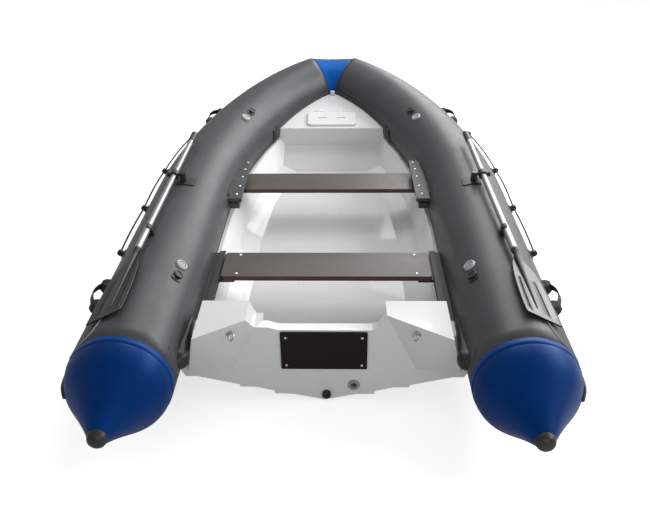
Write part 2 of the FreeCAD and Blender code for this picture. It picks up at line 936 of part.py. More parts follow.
def tie_rings():
    rear = tie_ring(size("rear_tie_y"), size("rear_valve_angle"))
    front = tie_ring(size("front_tie_y"), size("front_valve_angle"))
    on_both_sides("tie_rings", Part.makeCompound([rear, front]))


def carry_handle(y, degrees):
    """A strap arched between two moulded ends."""
    span = size("handle_span")
    rise = size("handle_rise")
    width = size("handle_width")
    strap = size("handle_strap")
    outer = Part.Arc(V(0, -span / 2, 10), V(0, 0, rise), V(0, span / 2, 10)).toShape()
    inner = Part.Arc(V(0, span / 2, 10 - strap), V(0, 0, rise - strap), V(0, -span / 2, 10 - strap)).toShape()
    profile = Part.Wire([
        outer,
        Part.makeLine(V(0, span / 2, 10), V(0, span / 2, 10 - strap)),
        inner,
        Part.makeLine(V(0, -span / 2, 10 - strap), V(0, -span / 2, 10)),
    ])
    arch = Part.Face(profile).extrude(V(width, 0, 0))
    arch.translate(V(-width / 2, 0, 0))
    solid = fitted(arch, y, degrees)
    for end in (-1, 1):
        grip = Part.makeBox(width + 8, 46, 40, V(-width / 2 - 4, end * span / 2 - 23 - end * 6, -22))
        along = [edge for edge in grip.Edges if edge.BoundBox.XLength > width]
        grip = grip.makeFillet(8, [edge for edge in along if edge.BoundBox.ZMin > 10])
        solid = solid.fuse(fitted(grip, y, degrees))
    return biggest(solid.cut(clear_tubes[1]))


def carry_handles():
    rear = carry_handle(size("rear_handle_y"), size("line_angle"))
    front = carry_handle(size("front_handle_y"), size("line_angle"))
    paired("carry_handles", Part.makeCompound([rear, front]))


EYELET_STATIONS = (580, 110, -310, -735)


def eyelet(y):
    """A round pad with a standing eye that the grab line runs through."""
    pad = sunk_disc(size("eyelet_pad"), size("eyelet_pad_height"), y, size("line_angle"))
    width = size("eyelet_width")
    radius = size("eyelet_radius")
    stand = size("line_lift")
    bore = size("line_radius") + size("eyelet_clearance")
    post = Part.makeCylinder(radius, width, V(0, -width / 2, stand), V(0, 1, 0))
    foot = Part.makeBox(2 * radius, width, stand + 2, V(-radius, -width / 2, -2))
    hole = Part.makeCylinder(bore, width + 2, V(0, -width / 2 - 1, stand), V(0, 1, 0))
    eye = fitted(post.fuse(foot).cut(hole), y, size("line_angle"))
    return biggest(pad.fuse(eye.cut(local_tube(y, 60))).removeSplitter())


def eyelets():
    on_both_sides("line_eyelets", Part.makeCompound([eyelet(y) for y in EYELET_STATIONS]))


# The starboard grab line, from the first eyelet to the last
LINE_ROUTE = (
    (803, 632, 331),
    (826, 530, 327.5),
    (846, 424, 325),
    (861.5, 320, 322),
    (872, 218, 319),
    (878.5, 118, 317.7),
    (885.5, 10, 319),
    (888.5, -98, 320),
    (888.6, -206, 318.5),
    (887.6, -310, 316.7),
    (890.5, -418, 319),
    (892.5, -526, 319.5),
    (893, -634, 318.5),
    (890.8, -748, 316.5),
)


def rounded_route(points):
    """A wire of straight runs joined by tangent arcs, each arc as large as its two runs allow."""
    edges = []
    start = points[0]
    for before, corner, after in zip(points, points[1:], points[2:]):
        first = (before - corner).normalize()
        last = (after - corner).normalize()
        reach = 0.45 * min((before - corner).Length, (after - corner).Length)
        half_turn = (math.pi - first.getAngle(last)) / 2
        radius = reach / math.tan(half_turn)
        middle = (first + last).normalize()
        top = corner + middle * (radius / math.cos(half_turn) - radius)
        entry = corner + first * reach
        leave = corner + last * reach
        edges.append(Part.LineSegment(start, entry).toShape())
        edges.append(Part.Arc(entry, top, leave).toShape())
        start = leave
        print("line radius", round(radius))
    edges.append(Part.LineSegment(start, points[-1]).toShape())
    return Part.Wire(edges)


def grab_lines():
    points = [V(*point) for point in LINE_ROUTE]
    path = rounded_route(points)
    section = Part.Wire([Part.makeCircle(size("line_radius"), points[0], points[1] - points[0])])
    line = path.makePipeShell([section], True, False)
    expected = math.pi * size("line_radius") ** 2 * path.Length
    print("line length", round(path.Length), "volume ratio", round(line.Volume / expected, 4))
    paired("grab_line", line)


# Seats

def seat_room(y):
    """Half the clear width between the tubes, at a station."""
    return axis_at(y).x - R


def thwart_half():
    """Half the length of a thwart: both are cut to fit between the tubes at the front one."""
    return round(seat_room(size("front_thwart_y") + size("thwart_depth") / 2) - size("thwart_end_gap"), 1)


def thwarts():
    """The two boards, with rounded corners and eased upper edges."""
    half = thwart_half()
    depth = size("thwart_depth")
    board = size("thwart_board")
    top = size("thwart_level")
    for name in ("rear", "front"):
        plank = Part.makeBox(2 * half, depth, board, V(-half, size(f"{name}_thwart_y"), top - board))
        corners = [edge for edge in plank.Edges if edge.BoundBox.ZLength > board - 0.01]
        plank = plank.makeFillet(size("thwart_corner"), corners)
        rim = [edge for edge in plank.Edges if edge.BoundBox.ZMin > top - 0.01]
        shaped(f"thwart_{name}", plank.makeFillet(size("thwart_edge"), rim))


def seat_fittings():
    """Grooved rails on the tubes, and the feet under the rear thwart with tongues that slide in them."""
    under = size("thwart_level") - size("thwart_board")
    gap = size("skin_gap")
    half = thwart_half()
    start = size("transom_aft") + size("wing_front_depth") + size("gasket_height")
    length = size("rail_length")
    inside = half + size("rail_gap")
    rail_top = size("rail_top")
    height = size("rail_height")
    groove = size("rail_groove")
    middle = rail_top - height / 2
    rail = Part.makeBox(size("rail_width"), length, height, V(inside, start, rail_top - height))
    web = Part.makeBox(R, length, size("rail_web"), V(inside + size("rail_width") - gap, start, middle - size("rail_web") / 2))
    slot = Part.makeBox(size("rail_groove_depth"), length, groove, V(inside, start, middle - groove / 2))
    on_both_sides("seat_rails", biggest(off_the_tubes(rail.fuse(web).cut(slot))))
    inset = size("foot_inset")
    depth = size("thwart_depth") - 2 * inset
    y = size("rear_thwart_y") + inset
    foot_top = under - size("foot_height")
    foot = Part.makeBox(size("foot_length"), depth, size("foot_height"),
                        V(inside - gap - size("foot_length"), y, foot_top))
    tongue = Part.makeBox(size("foot_length") + groove, depth, size("foot_tongue"),
                          V(inside - size("foot_length"), y, middle - size("foot_tongue") / 2))
    bolt = Part.makeCylinder(size("foot_bolt"), size("foot_bolt_drop"),
                             V(inside - size("foot_length") / 2, y + depth / 2, foot_top - size("foot_bolt_drop")))
    on_both_sides("thwart_feet", biggest(foot.fuse(tongue).fuse(bolt).removeSplitter()))


def bracket():
    """A plate on the shoulder of the tube, bent to it, with a shelf under the thwart's end."""
    middle = size("front_thwart_y") + size("thwart_depth") / 2
    length = size("bracket_length")
    stations = spaced(middle - length / 2, middle + length / 2, 5)
    plate = band(stations, lambda y: -84.0, size("bracket_width") / 2, size("bracket_board"), 0.98)
    under = size("thwart_level") - size("thwart_board")
    half = thwart_half()
    board = size("bracket_board")
    skin = seat_room(middle)
    front = size("front_thwart_y")
    depth = size("thwart_depth")
    shelf = Part.makeBox(skin + 20 - half + 40, depth - 20, board, V(half - 40, front + 10, under - board))
    web = Part.makeBox(20 + 2 * board, depth - 20, 2 * board + 40, V(skin - 2 * board, front + 10, under - board))
    clamp = Part.makeBox(skin + 20 - half - 2, 70, 30, V(half + 2, middle - length / 2 - 24, under - board))
    inside_plate = board / 2
    seat = shelf.fuse(web).cut(local_tube(middle, length / 2, inside_plate))
    grip = clamp.cut(local_tube(middle - length / 2, length / 2, inside_plate))
    on_both_sides("thwart_brackets", biggest(plate.fuse(seat).fuse(grip)))


# Transom fittings

def cylinder_feature(label, radius, height, place, direction):
    rod = doc.addObject("Part::Cylinder", label)
    rod.setExpression("Radius", radius)
    rod.setExpression("Height", height)
    rod.Placement = Placement(V(0, 0, 0), Rotation(UP, direction))
    for axis, expression in zip("xyz", place):
        rod.setExpression(f"Placement.Base.{axis}", expression)
    return rod


def motor_pads():
    """A clamping board on each face of the transom, under the outboard motor's bracket."""
    half = size("pad_half")
    depth = size("pad_depth")
    boards = []
    for y in (size("transom_aft") - depth, size("transom_aft") + size("transom_depth")):
        board = Part.makeBox(2 * half, depth, size("pad_height"), V(-half, y, size("pad_top") - size("pad_height")))
        corners = [edge for edge in board.Edges if edge.BoundBox.YLength > depth - 0.01]
        boards.append(board.makeFillet(size("pad_corner"), corners))
    shaped("motor_pads", Part.makeCompound(boards))


def drains():
    """The screw plug at the keel, and a flanged sleeve through the transom beside it."""
    place = ("Sizes.drain_x", "Sizes.transom_aft", "Sizes.drain_level")
    radius = size("plug_radius")
    plug = Part.makeCylinder(radius, size("plug_height"))
    for lobe in range(6):
        angle = math.radians(60 * lobe)
        flute = Part.makeCylinder(size("plug_flute"), size("plug_height"),
                                  V(radius * 1.15 * math.cos(angle), radius * 1.15 * math.sin(angle), radius / 4))
        plug = plug.cut(flute)
    seat = V(size("plug_x"), size("transom_aft"), size("plug_level"))
    shaped("drain_plug", plug, Placement(seat, Rotation(UP, V(0, -1, 0))))
    flange = cylinder_feature("drain_rim", "Sizes.drain_radius", "Sizes.drain_flange", place, V(0, -1, 0))
    sleeve = cylinder_feature(
        "drain_sleeve", "Sizes.drain_bore + Sizes.drain_wall", "Sizes.transom_depth", place, V(0, 1, 0)
    )
    bore = cylinder_feature(
        "drain_hole", "Sizes.drain_bore", "Sizes.drain_flange + Sizes.transom_depth",
        ("Sizes.drain_x", "Sizes.transom_aft - Sizes.drain_flange", "Sizes.drain_level"), V(0, 1, 0),
    )
    whole = doc.addObject("Part::Fuse", "drain_body")
    whole.Base = flange
    whole.Tool = sleeve
    socket = doc.addObject("Part::Cut", "drain_socket")
    socket.Base = whole
    socket.Tool = bore
    keep(socket, "drain_socket")


def eye_bolts():
    """A ring bolt on the folded face of each shoulder of the transom."""
    root, fold, foot_in = wing_corners()[:3]
    out = (foot_in - root).cross(fold - root).normalize()
    depth = (V(size("eye_x"), 0, size("eye_level")) - root).dot(out)
    seat = V(size("eye_x"), -depth / out.y, size("eye_level"))
    gap = size("skin_gap")
    base = Part.makeCylinder(size("eye_base"), size("eye_wire"), V(0, 0, gap))
    shank = Part.makeCylinder(size("eye_wire"), size("eye_shank"), V(0, 0, gap))
    centre = size("eye_shank") + size("eye_radius")
    ring = Part.makeTorus(size("eye_radius"), size("eye_wire"), V(0, 0, centre), V(1, 0, 0))
    bolt = base.fuse(shank).fuse(ring).removeSplitter()
    bolt.Placement = Placement(seat, Rotation(UP, out))
    on_both_sides("eye_bolts", bolt)


def bow_eye(hull):
    """A bent rod through the stem, for the winch of a trailer."""
    y = size("bow_eye_y")
    level = keel_level(y)
    wire = size("bow_eye_wire")
    half = size("bow_eye_half")
    drop = size("bow_eye_drop")
    bend = Part.makeTorus(half, wire, V(0, y, level - drop + half), V(1, 0, 0))
    lower = Part.makeBox(4 * wire, 4 * half, 2 * half, V(-2 * wire, y - 2 * half, level - drop - half))
    rod = bend.common(lower)
    for end in (-1, 1):
        leg = Part.makeCylinder(wire, 3 * drop, V(0, y + end * half, level - drop + half))
        rod = rod.fuse(leg)
    below = [piece for piece in rod.cut(hull).Solids if piece.BoundBox.ZMin < level - drop + half]
    shaped("bow_eye", max(below, key=lambda piece: piece.Volume))


# Oars

PIVOT = axis_at(size("rowlock_y")) + UP * R


def oar_place(along=0.0):
    """The starboard oar's frame: Z runs aft along the shaft, X outboard and Y up."""
    spread = math.radians(size("oar_spread"))
    fall = math.radians(size("oar_fall"))
    aft = V(math.sin(spread), -math.cos(spread) * math.cos(fall), -math.sin(fall)).normalize()
    outboard = UP.cross(aft).normalize()
    above = aft.cross(outboard)
    matrix = FreeCAD.Matrix(
        outboard.x, above.x, aft.x, 0, outboard.y, above.y, aft.y, 0, outboard.z, above.z, aft.z, 0, 0, 0, 0, 1
    )
    origin = PIVOT + V(size("oar_offset"), 0, size("oar_lift"))
    return Placement(origin + aft * along, Placement(matrix).Rotation)


def oar_pieces():
    fore = size("oar_fore")
    shaft = Part.makeCylinder(size("shaft_radius"), fore + size("sleeve_fore"), V(0, 0, -fore))
    sleeve_start = size("sleeve_fore")
    sleeve = Part.makeCylinder(size("sleeve_radius"), size("oar_aft") - sleeve_start, V(0, 0, sleeve_start))
    paired("oar_shaft", shaft.fuse(sleeve).removeSplitter(), oar_place())
    grip = Part.makeCylinder(size("grip_radius"), size("grip_length"), V(0, 0, -fore - size("grip_length")))
    grip = grip.makeFillet(5, [edge for edge in grip.Edges if edge.BoundBox.ZLength < 0.01])
    paired("oar_grip", grip, oar_place())
    blade = blade_shape()
    paired("oar_blade", blade, oar_place())


def blade_shape():
    half = size("blade_half")
    start = size("blade_start")
    end = size("blade_end")
    skew = size("blade_skew")
    board = size("blade_board")
    neck = 16
    left = Part.BSplineCurve()
    left.interpolate([V(-neck, 0, start), V(-0.86 * half, 0, start + 70), V(-half, 0, start + 170),
                      V(-0.9 * half, 0, end - skew - 40), V(-0.8 * half, 0, end - skew)])
    right = Part.BSplineCurve()
    right.interpolate([V(half, 0, end), V(half, 0, start + 170), V(0.86 * half, 0, start + 70), V(neck, 0, start)])
    wire = Part.Wire([
        left.toShape(),
        Part.makeLine(V(-0.8 * half, 0, end - skew), V(half, 0, end)),
        right.toShape(),
        Part.makeLine(V(neck, 0, start), V(-neck, 0, start)),
    ])
    plate = Part.Face(wire).extrude(V(0, -board, 0))
    plate.translate(V(0, -6, 0))
    for x in (-0.48 * half, 0.52 * half):
        slot = Part.makeBox(6, 3 * board, 150, V(x - 3, -6 - 2 * board, start + 150 + x * 0.5))
        plate = plate.cut(slot)
    plate.rotate(V(0, 0, 0), V(0, 0, 1), -size("blade_tilt"))
    ridge = Part.makeCylinder(size("ridge_radius"), end - skew - 10 - size("oar_aft"), V(0, 0, size("oar_aft")))
    return plate.fuse(ridge)


def rowlocks():
    pad = sunk_plate(size("rowlock_pad_half"), size("rowlock_pad_inboard"), size("rowlock_pad_outboard"),
                     size("rowlock_pad_height"), PIVOT.y)
    gap = size("skin_gap")
    socket = Part.makeCylinder(size("socket_radius"), size("socket_height"), PIVOT)
    bore = Part.makeCylinder(size("swivel_radius") + gap, size("socket_height"), PIVOT + V(0, 0, 6))
    base = pad.fuse(socket.cut(local_tube(PIVOT.y, 120))).cut(bore)
    on_both_sides("rowlock_bases", biggest(base))
    lift = size("oar_lift")
    stem = Part.makeCylinder(size("swivel_radius"), lift - 8, PIVOT + V(0, 0, 8))
    head_low = size("socket_height") + gap
    head = Part.makeCylinder(size("swivel_head"), lift + 12 - head_low, PIVOT + V(0, 0, head_low))
    reach = size("oar_offset") + size("collar_radius") + 14
    arm = Part.makeCylinder(size("pin_radius"), reach, PIVOT + V(0, 0, lift), V(1, 0, 0))
    nut = Part.makeCylinder(11, 9, PIVOT + V(reach - 10, 0, lift), V(1, 0, 0))
    length = size("collar_length")
    collar = Part.makeCylinder(size("collar_radius"), length, V(0, 0, -length / 2))
    collar.Placement = oar_place()
    hole = Part.makeCylinder(size("shaft_radius"), 400, V(0, 0, -200))
    hole.Placement = oar_place()
    solid = stem.fuse(head).fuse(arm).fuse(nut).fuse(collar).cut(hole)
    solids = sorted(solid.Solids, key=lambda s: -s.Volume)
    paired("rowlock_swivel", solids[0])


def clips():
    """An open clip on the tube, its mouth outboard, that the sleeve lies in."""
    clear = size("clip_clearance")
    wall = size("clip_wall")
    radius = size("sleeve_radius") + clear
    width = size("clip_width")
    place = oar_place(size("clip_along") + 20)
    ring = Part.makeCylinder(radius + wall, width, V(0, 0, -width / 2))
    hollow = Part.makeCylinder(radius, width + 2, V(0, 0, -width / 2 - 1))
    mouth = Part.makeBox(200, 2 * radius, width + 2, V(2, -radius, -width / 2 - 1))
    foot = Part.makeBox(30, 60, width, V(-radius - wall - 6, -60, -width / 2))
    clip = ring.fuse(foot).cut(hollow).cut(mouth)
    clip = clip.cut(Part.makeBox(200, 200, width + 2, V(2, -200 - radius + 200, -width / 2 - 1)))
    clip.Placement = place
    on_both_sides("oar_clips", biggest(clip.cut(local_tube(PIVOT.y - size("clip_along"), 200))))


buoyancy()
hull_shape, liner_shape = hull_pieces()
gaskets(transom_piece(hull_shape, liner_shape))
locker_pieces(hull_shape, liner_shape)
strakes()
valves()
tie_rings()
carry_handles()
eyelets()
grab_lines()
thwarts()
seat_fittings()
bracket()
motor_pads()
drains()
eye_bolts()
bow_eye(hull_shape)
oar_pieces()
rowlocks()
clips()

doc.recompute()
os.makedirs("parts", exist_ok=True)
for piece in parts:
    problems = [state for state in piece.State if state in ("Invalid", "Error")]
    if problems or piece.Shape.isNull() or not piece.Shape.isValid():
        raise RuntimeError(f"{piece.Label} did not build: {piece.State}")
for piece in parts:
    piece.Shape.exportStep(f"parts/{piece.Label}.step")
    print(piece.Label, len(piece.Shape.Solids), round(piece.Shape.Volume / 1e6, 3))
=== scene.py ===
"""The looks of a rigid-hulled inflatable boat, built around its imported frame.

Metres, in the frame's own axes: +X starboard, +Y towards the bow, +Z up.
"""

import json
import math

import bmesh
import bpy
import numpy as np
from mathutils import Matrix, Vector
from mathutils.bvhtree import BVHTree


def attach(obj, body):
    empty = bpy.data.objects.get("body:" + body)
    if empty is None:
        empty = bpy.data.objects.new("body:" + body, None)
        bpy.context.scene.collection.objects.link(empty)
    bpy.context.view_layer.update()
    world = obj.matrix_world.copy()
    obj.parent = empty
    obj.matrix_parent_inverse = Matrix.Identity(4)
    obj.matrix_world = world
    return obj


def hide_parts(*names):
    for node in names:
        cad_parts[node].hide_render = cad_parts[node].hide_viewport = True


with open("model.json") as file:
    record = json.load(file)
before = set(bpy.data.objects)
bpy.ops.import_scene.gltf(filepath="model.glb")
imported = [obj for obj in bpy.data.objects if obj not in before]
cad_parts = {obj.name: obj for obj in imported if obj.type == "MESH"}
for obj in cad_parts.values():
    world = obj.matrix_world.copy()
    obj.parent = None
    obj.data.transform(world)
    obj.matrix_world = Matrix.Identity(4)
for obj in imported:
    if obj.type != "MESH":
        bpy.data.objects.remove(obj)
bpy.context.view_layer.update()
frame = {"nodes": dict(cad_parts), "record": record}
NODES = frame["nodes"]

UP = Vector((0, 0, 1))
SIDES = (("starboard", 1), ("port", -1))


# Centre line of the side tubes, as in the frame

TUBE_RADIUS = 0.190
AXIS_HEIGHT = 0.220
STERN_X = 0.714
KNEE_X = 0.704
SEAM_Y = -1.450
KNEE_Y = -0.074
BOW_Y = 1.620
BOW_HALF = 0.097
KNEE_LEAD = 0.590
BOW_LEAD = 0.560
BOW_TURN = math.radians(42)
SHEER = 0.088
AXIS_HALVINGS = 36


def plan_curve():
    """The four poles of the tube's bent stretch, seen from above."""
    start = Vector((KNEE_X, KNEE_Y, 0))
    run = Vector((KNEE_X - STERN_X, KNEE_Y - SEAM_Y, 0)).normalized()
    corner = Vector((BOW_HALF, BOW_Y, 0))
    inward = Vector((-math.cos(BOW_TURN), math.sin(BOW_TURN), 0))
    return start, start + run * KNEE_LEAD, corner - inward * BOW_LEAD, corner


PLAN = plan_curve()


def plan_at(share):
    a, b, c, d = PLAN
    rest = 1 - share
    return a * rest ** 3 + b * (3 * share * rest ** 2) + c * (3 * share ** 2 * rest) + d * share ** 3


def axis_at(y):
    """The centre of the starboard tube at a station."""
    if y <= KNEE_Y:
        share = (y - SEAM_Y) / (KNEE_Y - SEAM_Y)
        return Vector((STERN_X + (KNEE_X - STERN_X) * share, y, AXIS_HEIGHT))
    low, high = 0.0, 1.0
    for _ in range(AXIS_HALVINGS):
        middle = (low + high) / 2
        if plan_at(middle).y < y:
            low = middle
        else:
            high = middle
    lift = SHEER * ((y - KNEE_Y) / (BOW_Y - KNEE_Y)) ** 2
    return Vector((plan_at(low).x, y, AXIS_HEIGHT + lift))


def run_at(y):
    """The direction of the starboard tube at a station, towards the bow."""
    step = 0.001
    return (axis_at(min(y + step, BOW_Y)) - axis_at(y - step)).normalized()


def axes_at(y):
    along = run_at(y)
    outboard = along.cross(UP).normalized()
    return along, outboard, outboard.cross(along)


def out_at(y, degrees):
    """The direction out of the starboard tube at an angle from its top, outboard positive."""
    _, outboard, top = axes_at(y)
    angle = math.radians(degrees)
    return top * math.cos(angle) + outboard * math.sin(angle)


def skin_at(y, degrees):
    return axis_at(y) + out_at(y, degrees) * TUBE_RADIUS


def frame_matrix(x_axis, y_axis, z_axis, place):
    """A frame from its three axes and its place."""
    rows = [(x_axis[k], y_axis[k], z_axis[k], place[k]) for k in range(3)]
    return Matrix((*rows, (0, 0, 0, 1)))


def skin_matrix(y, degrees):
    """A frame on the starboard skin: Z out of the tube and Y along it."""
    along = run_at(y)
    out = out_at(y, degrees)
    return frame_matrix(along.cross(out), along, out, skin_at(y, degrees))


def spaced(first, last, count):
    return [first + (last - first) * k / (count - 1) for k in range(count)]


# Materials

NOISE_LOW = 0.3
NOISE_HIGH = 0.7
GRID_PITCH = 0.0125
GRID_HALF = 0.395
GRID_FADE = 0.004
GRID_NARROWING = 0.16
BANDS_PER_UNIT = 3.2
GRAIN_PER_CLOUD = 14
GLOSS_SPREAD = 0.12
WHITE = (0.69, 0.695, 0.695)
BOW_BLUE = (0.003, 0.072, 0.30)
BLUE_SHEEN = (0.12, 0.42, 1.0)


def shader(name):
    made = bpy.data.materials.new(name)
    made.use_nodes = True
    return made, made.node_tree, made.node_tree.nodes["Principled BSDF"]


def node(tree, kind, **settings):
    made = tree.nodes.new(kind)
    for key, value in settings.items():
        if key in made.inputs:
            made.inputs[key].default_value = value
        else:
            setattr(made, key, value)
    return made


def mapped(tree, source, low, high, out_low, out_high):
    reach = node(tree, "ShaderNodeMapRange")
    for key, value in (("From Min", low), ("From Max", high), ("To Min", out_low), ("To Max", out_high)):
        reach.inputs[key].default_value = value
    tree.links.new(source, reach.inputs["Value"])
    return reach.outputs["Result"]


def from_noise(tree, source, out_low, out_high):
    """A range that follows the noise, from its lower values to its upper ones."""
    return mapped(tree, source, NOISE_LOW, NOISE_HIGH, out_low, out_high)


def maths(tree, operation, *sources):
    """A sum on sockets and numbers."""
    made = node(tree, "ShaderNodeMath", operation=operation)
    for source, socket in zip(sources, made.inputs):
        if isinstance(source, (int, float)):
            socket.default_value = source
        else:
            tree.links.new(source, socket)
    return made.outputs["Value"]


def noise(tree, scale, detail=3.0, rough=0.5, stretch=None):
    """Noise in object coordinates, in metres."""
    coords = node(tree, "ShaderNodeTexCoord")
    source = coords.outputs["Object"]
    if stretch is not None:
        mapping = node(tree, "ShaderNodeMapping")
        mapping.inputs["Scale"].default_value = stretch
        tree.links.new(source, mapping.inputs["Vector"])
        source = mapping.outputs["Vector"]
    made = node(tree, "ShaderNodeTexNoise", Scale=scale, Detail=detail, Roughness=rough)
    tree.links.new(source, made.inputs["Vector"])
    return made.outputs["Fac"]


def blend_colours(tree, share, first, second):
    mix = node(tree, "ShaderNodeMix", data_type="RGBA")
    mix.inputs["A"].default_value = (*first, 1)
    mix.inputs["B"].default_value = (*second, 1)
    tree.links.new(share, mix.inputs["Factor"])
    return mix.outputs["Result"]


def add_bump(tree, bsdf, height, distance, strength=1.0):
    bump = node(tree, "ShaderNodeBump", Distance=distance, Strength=strength)
    tree.links.new(height, bump.inputs["Height"])
    normal = bsdf.inputs["Normal"]
    if normal.links:
        tree.links.new(normal.links[0].from_socket, bump.inputs["Normal"])
    tree.links.new(bump.outputs["Normal"], normal)


def plain(name, colour, roughness, spread=0.12, scale=30.0, metallic=0.0, bump=0.0003, coat=0.0):
    """A colour with slight cloudiness, uneven gloss and a fine grain."""
    made, tree, bsdf = shader(name)
    cloud = noise(tree, scale)
    dark = [c * (1 - spread) for c in colour]
    light = [min(c * (1 + spread), 1.0) for c in colour]
    tree.links.new(blend_colours(tree, from_noise(tree, cloud, 0, 1), dark, light), bsdf.inputs["Base Color"])
    fine = noise(tree, scale * GRAIN_PER_CLOUD, 2.0)
    gloss = from_noise(tree, fine, roughness * (1 - GLOSS_SPREAD), roughness * (1 + GLOSS_SPREAD))
    tree.links.new(gloss, bsdf.inputs["Roughness"])
    bsdf.inputs["Metallic"].default_value = metallic
    bsdf.inputs["Coat Weight"].default_value = coat
    if bump:
        add_bump(tree, bsdf, fine, bump)
    return made


def coated_fabric(name, colour, light_colour, gloss, sheen=0.35, tint=(1, 1, 1)):
    """Woven fabric under a satin coat: a fine weave, slow undulation and a soft sheen."""
    made, tree, bsdf = shader(name)
    cloud = noise(tree, 5.0, 2.0)
    share = from_noise(tree, cloud, 0.0, 1.0)
    tree.links.new(blend_colours(tree, share, colour, light_colour), bsdf.inputs["Base Color"])
    bsdf.inputs["Specular IOR Level"].default_value = sheen
    bsdf.inputs["Specular Tint"].default_value = (*tint, 1)
    patchy = noise(tree, 18.0, 3.0)
    tree.links.new(from_noise(tree, patchy, gloss - 0.03, gloss + 0.04), bsdf.inputs["Roughness"])
    coords = node(tree, "ShaderNodeTexCoord")
    weave = node(tree, "ShaderNodeTexVoronoi", Scale=700.0)
    tree.links.new(coords.outputs["Object"], weave.inputs["Vector"])
    add_bump(tree, bsdf, weave.outputs["Distance"], 0.0003, 0.25)
    add_bump(tree, bsdf, noise(tree, 7.0, 2.0), 0.003, 0.25)
    return made


def facing_up(tree, low, high):
    """1 on what faces straight up or down, 0 on the sides."""
    shape = node(tree, "ShaderNodeNewGeometry")
    split = node(tree, "ShaderNodeSeparateXYZ")
    tree.links.new(shape.outputs["Normal"], split.inputs[0])
    return mapped(tree, maths(tree, "ABSOLUTE", split.outputs["Z"]), low, high, 0, 1)


def film_faced_board(name, film, edge):
    """Plywood with a brown film on its faces and stained edges with the plies just showing."""
    made, tree, bsdf = shader(name)
    cloud = noise(tree, 9.0, 4.0, 0.6, (0.25, 1.0, 1.0))
    dull = [c * 0.86 for c in film]
    bright = [c * 1.12 for c in film]
    faces = blend_colours(tree, from_noise(tree, cloud, 0, 1), dull, bright)
    plies = node(tree, "ShaderNodeTexWave", Scale=60.0, Distortion=0.6, bands_direction="Z")
    coords = node(tree, "ShaderNodeTexCoord")
    tree.links.new(coords.outputs["Object"], plies.inputs["Vector"])
    lines = mapped(tree, plies.outputs["Fac"], 0.2, 0.8, 0, 1)
    sides = blend_colours(tree, lines, [c * 0.7 for c in edge], edge)
    both = node(tree, "ShaderNodeMix", data_type="RGBA")
    tree.links.new(sides, both.inputs["A"])
    tree.links.new(faces, both.inputs["B"])
    tree.links.new(facing_up(tree, 0.6, 0.9), both.inputs["Factor"])
    tree.links.new(both.outputs["Result"], bsdf.inputs["Base Color"])
    fine = noise(tree, 900.0, 2.0)
    tree.links.new(from_noise(tree, noise(tree, 30.0), 0.30, 0.40), bsdf.inputs["Roughness"])
    add_bump(tree, bsdf, fine, 0.0002, 0.4)
    return made


def speckled_board(name, dark, light):
    """A hard resin board with a fine speckle."""
    made, tree, bsdf = shader(name)
    fine = noise(tree, 420.0, 4.0, 0.7)
    specks = mapped(tree, fine, 0.45, 0.75, 0, 1)
    tree.links.new(blend_colours(tree, specks, dark, light), bsdf.inputs["Base Color"])
    bsdf.inputs["Roughness"].default_value = 0.42
    bsdf.inputs["Specular IOR Level"].default_value = 0.25
    add_bump(tree, bsdf, fine, 0.0003, 0.5)
    return made


def moulded_floor(name, colour):
    """Glossy moulding whose level floor carries a fine non-slip grid inside smooth margins."""
    made, tree, bsdf = shader(name)
    coords = node(tree, "ShaderNodeTexCoord")
    split = node(tree, "ShaderNodeSeparateXYZ")
    tree.links.new(coords.outputs["Object"], split.inputs[0])
    lines = []
    for axis in ("X", "Y"):
        wave = maths(tree, "COSINE", maths(tree, "MULTIPLY", split.outputs[axis], 2 * math.pi / GRID_PITCH))
        lines.append(mapped(tree, wave, 0.55, 0.85, 0, 1))
    grid = maths(tree, "MAXIMUM", *lines)
    ahead = maths(tree, "MAXIMUM", split.outputs["Y"], 0.0)
    narrowing = maths(tree, "MULTIPLY", ahead, GRID_NARROWING)
    edge = maths(tree, "ADD", maths(tree, "ABSOLUTE", split.outputs["X"]), narrowing)
    inside = mapped(tree, edge, GRID_HALF, GRID_HALF + GRID_FADE, 1, 0)
    patch = maths(tree, "MULTIPLY", inside, facing_up(tree, 0.9, 0.98))
    height = maths(tree, "MULTIPLY", grid, patch)
    tree.links.new(mapped(tree, patch, 0, 1, 0.14, 0.26), bsdf.inputs["Roughness"])
    # The cells between the grid's raised lines are darker in colour: painted shade in the hollows.
    painted_hollow_shade = [c * 0.90 for c in colour]
    both = node(tree, "ShaderNodeMix", data_type="RGBA")
    both.inputs["A"].default_value = (*colour, 1)
    tree.links.new(blend_colours(tree, grid, painted_hollow_shade, colour), both.inputs["B"])
    tree.links.new(patch, both.inputs["Factor"])
    tree.links.new(both.outputs["Result"], bsdf.inputs["Base Color"])
    bsdf.inputs["Coat Weight"].default_value = 0.3
    add_bump(tree, bsdf, height, 0.0006, 0.35)
    return made


def ribbed_rubber(name, colour, pitch):
    """Rubber with fine ribs across the run of the boat."""
    made, tree, bsdf = shader(name)
    bsdf.inputs["Base Color"].default_value = (*colour, 1)
    bsdf.inputs["Roughness"].default_value = 0.5
    ribs = node(tree, "ShaderNodeTexWave", Scale=1 / pitch / BANDS_PER_UNIT, bands_direction="DIAGONAL")
    coords = node(tree, "ShaderNodeTexCoord")
    tree.links.new(coords.outputs["Object"], ribs.inputs["Vector"])
    add_bump(tree, bsdf, ribs.outputs["Fac"], 0.001, 0.7)
    return made


